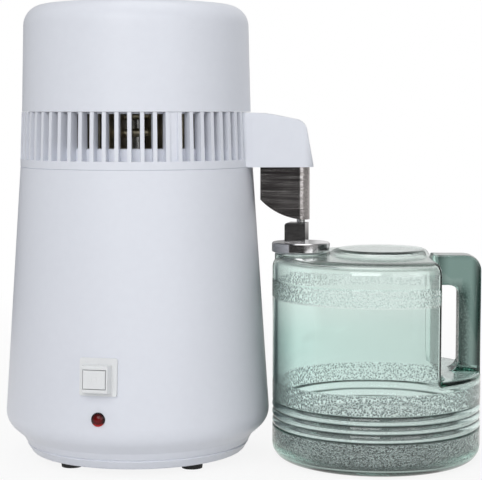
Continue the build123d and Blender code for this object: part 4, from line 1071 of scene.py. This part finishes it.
    def strap(self) -> bpy.types.Object:
        """The handle: one bent bar that ends inside the ledge and inside the pocket's wall."""
        outer, inner = self.handle_outer, self.handle_inner
        sunk = self.ledge - self.sunk
        root = self.pocket - self.sunk
        bend, hole = self.handle_corner, self.hole_corner
        outline = [(outer, sunk)]
        outline += arc(outer - bend, self.handle_top - bend, bend, 0, 90, 8)
        outline += [(root, self.handle_top), (root, self.hole_top)]
        outline += arc(inner - hole, self.hole_top - hole, hole, 90, 0, 6)
        outline += arc(inner - hole, self.ledge + hole, hole, 0, -90, 6)
        outline += [(inner - hole, sunk)]
        points: list[Point] = []
        for part in self.handle_slices:
            y = part * self.handle_width / 2
            pull = self.radius - math.sqrt(self.radius**2 - y**2)
            points += [(JUG_X / MM + x - pull, AXIS_Y / MM + y, z) for x, z in outline]
        faces = tube_faces(len(self.handle_slices), len(outline))
        made = self.shop.loose("handle_bar", points, faces)
        bevel = made.modifiers.new("rounding", "BEVEL")
        bevel.width = self.handle_edge * MM
        bevel.segments = 4
        bevel.limit_method = "ANGLE"
        bevel.angle_limit = math.radians(self.bevel_angle)
        self.shop.settle(made)
        return made

    def build(self) -> None:
        """Makes the jug as one piece of glass."""
        angles = self.angles()
        jug = self.shell("pressed_glass_jug", [self.outside(angle) for angle in angles])
        x = JUG_X / MM + self.mouth_shift
        self.shop.combine(jug, self.strap(), Cut.JOIN)
        edge = self.neck_edge
        rim = arc(self.neck_radius - edge, self.neck_height - edge, edge, 0, 90, 3)
        foot = self.shoulder - self.wall
        neck = self.turned("neck", x, [(0.0, foot), (self.neck_radius, foot), *rim, (0.0, self.neck_height)])
        self.shop.combine(jug, neck, Cut.JOIN)
        hollow = self.shell("hollow", [self.inside(angle) for angle in angles])
        low, high = self.mouth_cut
        mouth = [(0.0, low), (self.mouth_radius, low), (self.mouth_radius, high), (0.0, high)]
        self.shop.combine(hollow, self.turned("mouth", x, mouth), Cut.JOIN)
        self.shop.combine(jug, hollow, Cut.REMOVE)
        self.shop.finish(jug, "green_glass", Body.JUG, ("jug_glass", "jug_handle"))


@dataclass(frozen=True)
class SwitchAxes:
    """The switch's own directions: out of the panel, across its face and up it."""

    lean: float = 3.9739
    turn: float = -100.0

    @property
    def face(self) -> Vector:
        """The direction that the button faces."""
        lean, turn = math.radians(self.lean), math.radians(self.turn)
        return Vector((math.cos(turn) * math.cos(lean), math.sin(turn) * math.cos(lean), math.sin(lean)))

    @property
    def across(self) -> Vector:
        """Level, to the right as the button is seen."""
        turn = math.radians(self.turn)
        return Vector((-math.sin(turn), math.cos(turn), 0.0))

    @property
    def up(self) -> Vector:
        """Upwards along the panel."""
        return self.face.cross(self.across)


@dataclass
class ButtonSpring:
    """Coil spring behind the button, in millimetres."""

    shop: Workshop
    axes: SwitchAxes = SwitchAxes()
    coil_radius: float = 4.4
    wire_radius: float = 0.4
    turns: int = 4
    steps: int = 24
    sides: int = 8
    travel: float = 3.0

    def build(self) -> None:
        """Makes the spring where its solid is."""
        corners = [vertex.co / MM for vertex in frame["nodes"]["button_spring"].data.vertices]
        spans = []
        for way in (self.axes.face, self.axes.across, self.axes.up):
            reaches = [corner.dot(way) for corner in corners]
            spans.append((min(reaches), max(reaches)))
        low, high = spans[0]
        middle = self.axes.across * sum(spans[1]) / 2 + self.axes.up * sum(spans[2]) / 2
        foot = middle + self.axes.face * low
        length = high - low
        start = middle + self.axes.face * (low + self.wire_radius)
        made = self.coil(start, length - 2 * self.wire_radius)
        self.shop.finish(made, "spring_steel", Body.BOILER, ("button_spring",))
        keep = (length - self.travel) / length
        tuple(foot * MM)
        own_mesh(made)

    def coil(self, foot: Vector, climb: float) -> bpy.types.Object:
        """The bent wire.

        Args:
            foot: the middle of its lowest turn.
            climb: how far its axis rises.

        Returns:
            The object.
        """
        count = self.turns * self.steps
        points: list[Point] = []
        for step in range(count + 1):
            angle = 2 * math.pi * step / self.steps
            out = self.axes.across * math.cos(angle) + self.axes.up * math.sin(angle)
            for side in range(self.sides):
                turn = 2 * math.pi * side / self.sides
                rise = climb * step / count + self.wire_radius * math.sin(turn)
                reach = self.coil_radius + self.wire_radius * math.cos(turn)
                points.append(tuple(foot + out * reach + self.axes.face * rise))
        return self.shop.loose("coiled_button_spring", points, tube_faces(count + 1, self.sides))


@dataclass
class ButtonMark:
    """Plain raised square on the button's face, where a switch has its sign, in millimetres."""

    shop: Workshop
    side: float = 4.6
    line: float = 0.55
    rise: float = 0.12
    sunk: float = 0.2
    spread: float = 0.25
    flat: float = 0.05
    axes: SwitchAxes = SwitchAxes()

    def build(self) -> None:
        """Makes the raised square frame on the middle of the button's face."""
        face, across, up = self.axes.face, self.axes.across, self.axes.up
        centre = self.face_centre(face)
        points: list[Point] = []
        for height, grow in ((-self.sunk, self.spread), (self.rise, 0.0)):
            for reach in (self.side / 2 + grow, self.side / 2 - self.line - grow):
                for x, y in ((-1, -1), (1, -1), (1, 1), (-1, 1)):
                    points.append(tuple(centre + across * x * reach + up * y * reach + face * height))
        faces = []
        for corner in range(4):
            after = (corner + 1) % 4
            faces.append((8 + corner, 8 + after, 12 + after, 12 + corner))
            faces.append((corner, after, 4 + after, 4 + corner))
            faces.append((corner, after, 8 + after, 8 + corner))
            faces.append((4 + corner, 4 + after, 12 + after, 12 + corner))
        made = self.shop.loose("button_sign", points, faces)
        self.shop.finish(made, "warm_white_plastic", Body.BUTTON)

    def face_centre(self, face: Vector) -> Vector:
        """Middle of the button's face, read from its mesh, in millimetres.

        Args:
            face: the direction that the button faces.

        Returns:
            The place.
        """
        corners = [vertex.co for vertex in frame["nodes"]["start_button"].data.vertices]
        proud = max(corner.dot(face) for corner in corners)
        front = [corner for corner in corners if corner.dot(face) > proud - self.flat * MM]
        low = Vector([min(corner[axis] for corner in front) for axis in range(3)])
        high = Vector([max(corner[axis] for corner in front) for axis in range(3)])
        return (low + high) / 2 / MM


@dataclass(frozen=True)
class Softbox:
    """A square soft light, in metres and watts."""

    name: str
    place: Point
    target: Point
    size: float
    power: float

    def add(self) -> None:
        """Puts the light in the scene and aims it."""
        data = bpy.data.lights.new(self.name, "AREA")
        data.shape = "SQUARE"
        data.size = self.size
        data.energy = self.power
        lamp = link(self.name, data)
        lamp.location = self.place
        aim = Vector(self.target) - Vector(self.place)
        lamp.rotation_mode = "QUATERNION"
        lamp.rotation_quaternion = aim.to_track_quat("-Z", "Y")


@dataclass
class Studio:
    """Pale floor, plain soft light and the camera at the photograph's angle, in metres."""

    camera_place: Point = (0.0608, -1.2947, 0.2935)
    camera_yaw: float = -0.0476
    camera_pitch: float = 0.0834
    focal_pixels: float = 1538.6
    picture_width: int = 482
    sensor_width: float = 36.0
    view_end: float = 50.0
    floor_size: float = 14.0
    paper: Colour = (0.86, 0.86, 0.86)
    mirrored_tint: Colour = (1.0, 0.98, 0.96)
    whitened: Span = (0.35, 1.2)
    table_edge: Span = (0.9, 1.17)
    far_floor: Span = (2.2, 2.6)
    far_right: Span = (0.6, 1.2)
    behind: Span = (-0.30, -0.10)
    jug_shade: Span = (0.085, 0.130)
    room_glow: float = 0.042
    ceiling: Span = (0.35, 0.80)
    ceiling_glow: float = 0.30
    ahead: Span = (0.30, 0.72)
    above: Span = (0.15, 0.60)
    soft_colour: Colour = (0.97, 0.985, 1.0)
    soft_strength: float = 0.42
    softboxes: tuple[Softbox, ...] = (
        Softbox("key_softbox", (-0.45, -2.2, 1.25), (-0.05, 0.0, 0.2), 1.4, 23.0),
        Softbox("fill_softbox", (1.7, -1.3, 0.9), (0.0, 0.0, 0.2), 1.1, 4.0),
        Softbox("top_softbox", (0.1, 0.2, 2.1), (0.0, 0.0, 0.0), 1.4, 10.0),
    )

    def camera(self) -> None:
        """Adds the camera."""
        data = bpy.data.cameras.new("camera")
        data.sensor_width = self.sensor_width
        data.lens = self.focal_pixels / self.picture_width * data.sensor_width
        data.dof.use_dof = False
        data.clip_end = self.view_end
        eye = link("camera", data)
        ahead = Vector((
            math.sin(self.camera_yaw) * math.cos(self.camera_pitch),
            math.cos(self.camera_yaw) * math.cos(self.camera_pitch),
            -math.sin(self.camera_pitch),
        ))
        eye.rotation_mode = "QUATERNION"
        eye.rotation_quaternion = ahead.to_track_quat("-Z", "Y")
        eye.location = self.camera_place
        bpy.context.scene.camera = eye

    def floor(self) -> None:
        """Adds the floor: a white table that keeps the object's soft shadow."""
        mesh = bpy.data.meshes.new("floor")
        half = self.floor_size / 2
        corners = [(-half, -half, 0.0), (half, -half, 0.0), (half, half, 0.0), (-half, half, 0.0)]
        mesh.from_pydata(corners, [], [(0, 1, 2, 3)])
        floor = link("floor", mesh)
        board = Board.material("studio floor")
        place = board.place()
        away = board.distance(0.0, 0.0)
        paper = board.out("ShaderNodeBsdfDiffuse", None, {"Color": self.paper})
        share = away.rise(*self.whitened) * 0.12 + 0.88
        seen = board.mix(board.rays("Camera") * share, paper, board.glow(Glow.SURFACE, 1.0))
        table = 1.0 - away.rise(*self.table_edge)
        beyond = away.rise(*self.far_floor) * board.part(place, "X").rise(*self.far_right)
        mirrored = board.glow(Glow.SURFACE, table * 0.85 + beyond * 0.7 + 0.03, self.mirrored_tint)
        aside = board.part(place, "Y").rise(*self.behind)
        # Painted shadow: the floor, as seen through the glass, is dimmed under the jug.
        painted_jug_shadow = 1.0 - board.distance(JUG_X, AXIS_Y).rise(*self.jug_shade)
        through = board.glow(Glow.SURFACE, (aside * 0.85 + 0.15) * (1.0 - painted_jug_shadow * 0.5))
        shiny = board.mix(board.rays("Glossy"), seen, mirrored)
        mixed = board.mix(board.rays("Transmission"), shiny, through)
        board.node("ShaderNodeOutputMaterial", None, {"Surface": mixed})
        mesh.materials.append(board.owner)

    def room(self, board: Board) -> Wire:
        """What polished metal and glass mirror: a dim room with a tall window-like softbox.

        Args:
            board: the world's tree.

        Returns:
            The room's brightness in each direction.
        """
        way = board.out("ShaderNodeTexCoord", output="Generated")
        turn = board.part(way, "X").angle(board.part(way, "Y") * -1.0) * (180.0 / math.pi)
        wall: Wire | Number = self.room_glow
        for stretch in Room:
            low, high, soft, glow = stretch.value
            wall = wall + turn.band(low, high, soft) * glow
        ceiling = board.part(way, "Z").rise(*self.ceiling)
        return wall * (1.0 - ceiling) + ceiling * self.ceiling_glow

    def backdrop(self, board: Board) -> Wire:
        """What is seen through glass: white behind the object, dim to its sides.

        Args:
            board: the world's tree.

        Returns:
            The brightness in each direction.
        """
        way = board.out("ShaderNodeTexCoord", output="Generated")
        ahead = board.part(way, "Y").rise(*self.ahead)
        above = board.part(way, "Z").rise(*self.above)
        return ahead * 0.86 + 0.14 + (1.0 - ahead) * above * 0.45

    def sky(self) -> None:
        """Lights the scene evenly and shows white behind the object."""
        world = bpy.data.worlds.new("studio")
        bpy.context.scene.world = world
        board = Board(world)
        views = {"Glossy": self.room(board), "Transmission": self.backdrop(board), "Camera": 1.0}
        mixed = board.glow(Glow.SKY, self.soft_strength, self.soft_colour)
        for kind, strength in views.items():
            mixed = board.mix(board.rays(kind), mixed, board.glow(Glow.SKY, strength))
        board.node("ShaderNodeOutputWorld", None, {"Surface": mixed})

    def build(self) -> None:
        """Sets up everything around the object."""
        bpy.context.scene.view_settings.view_transform = "Standard"
        self.camera()
        self.floor()
        self.sky()
        for softbox in self.softboxes:
            softbox.add()
        log.info("studio ready")


def main() -> None:
    """Builds the scene in order."""
    logging.basicConfig(level=logging.INFO, format="%(name)s: %(message)s")
    Studio().build()
    wardrobe = Wardrobe()
    wardrobe.dress_nodes()
    shop = Workshop(wardrobe)
    for assembly in (Jug(shop), ButtonSpring(shop), ButtonMark(shop)):
        assembly.build()


if __name__ == "__main__":
    main()
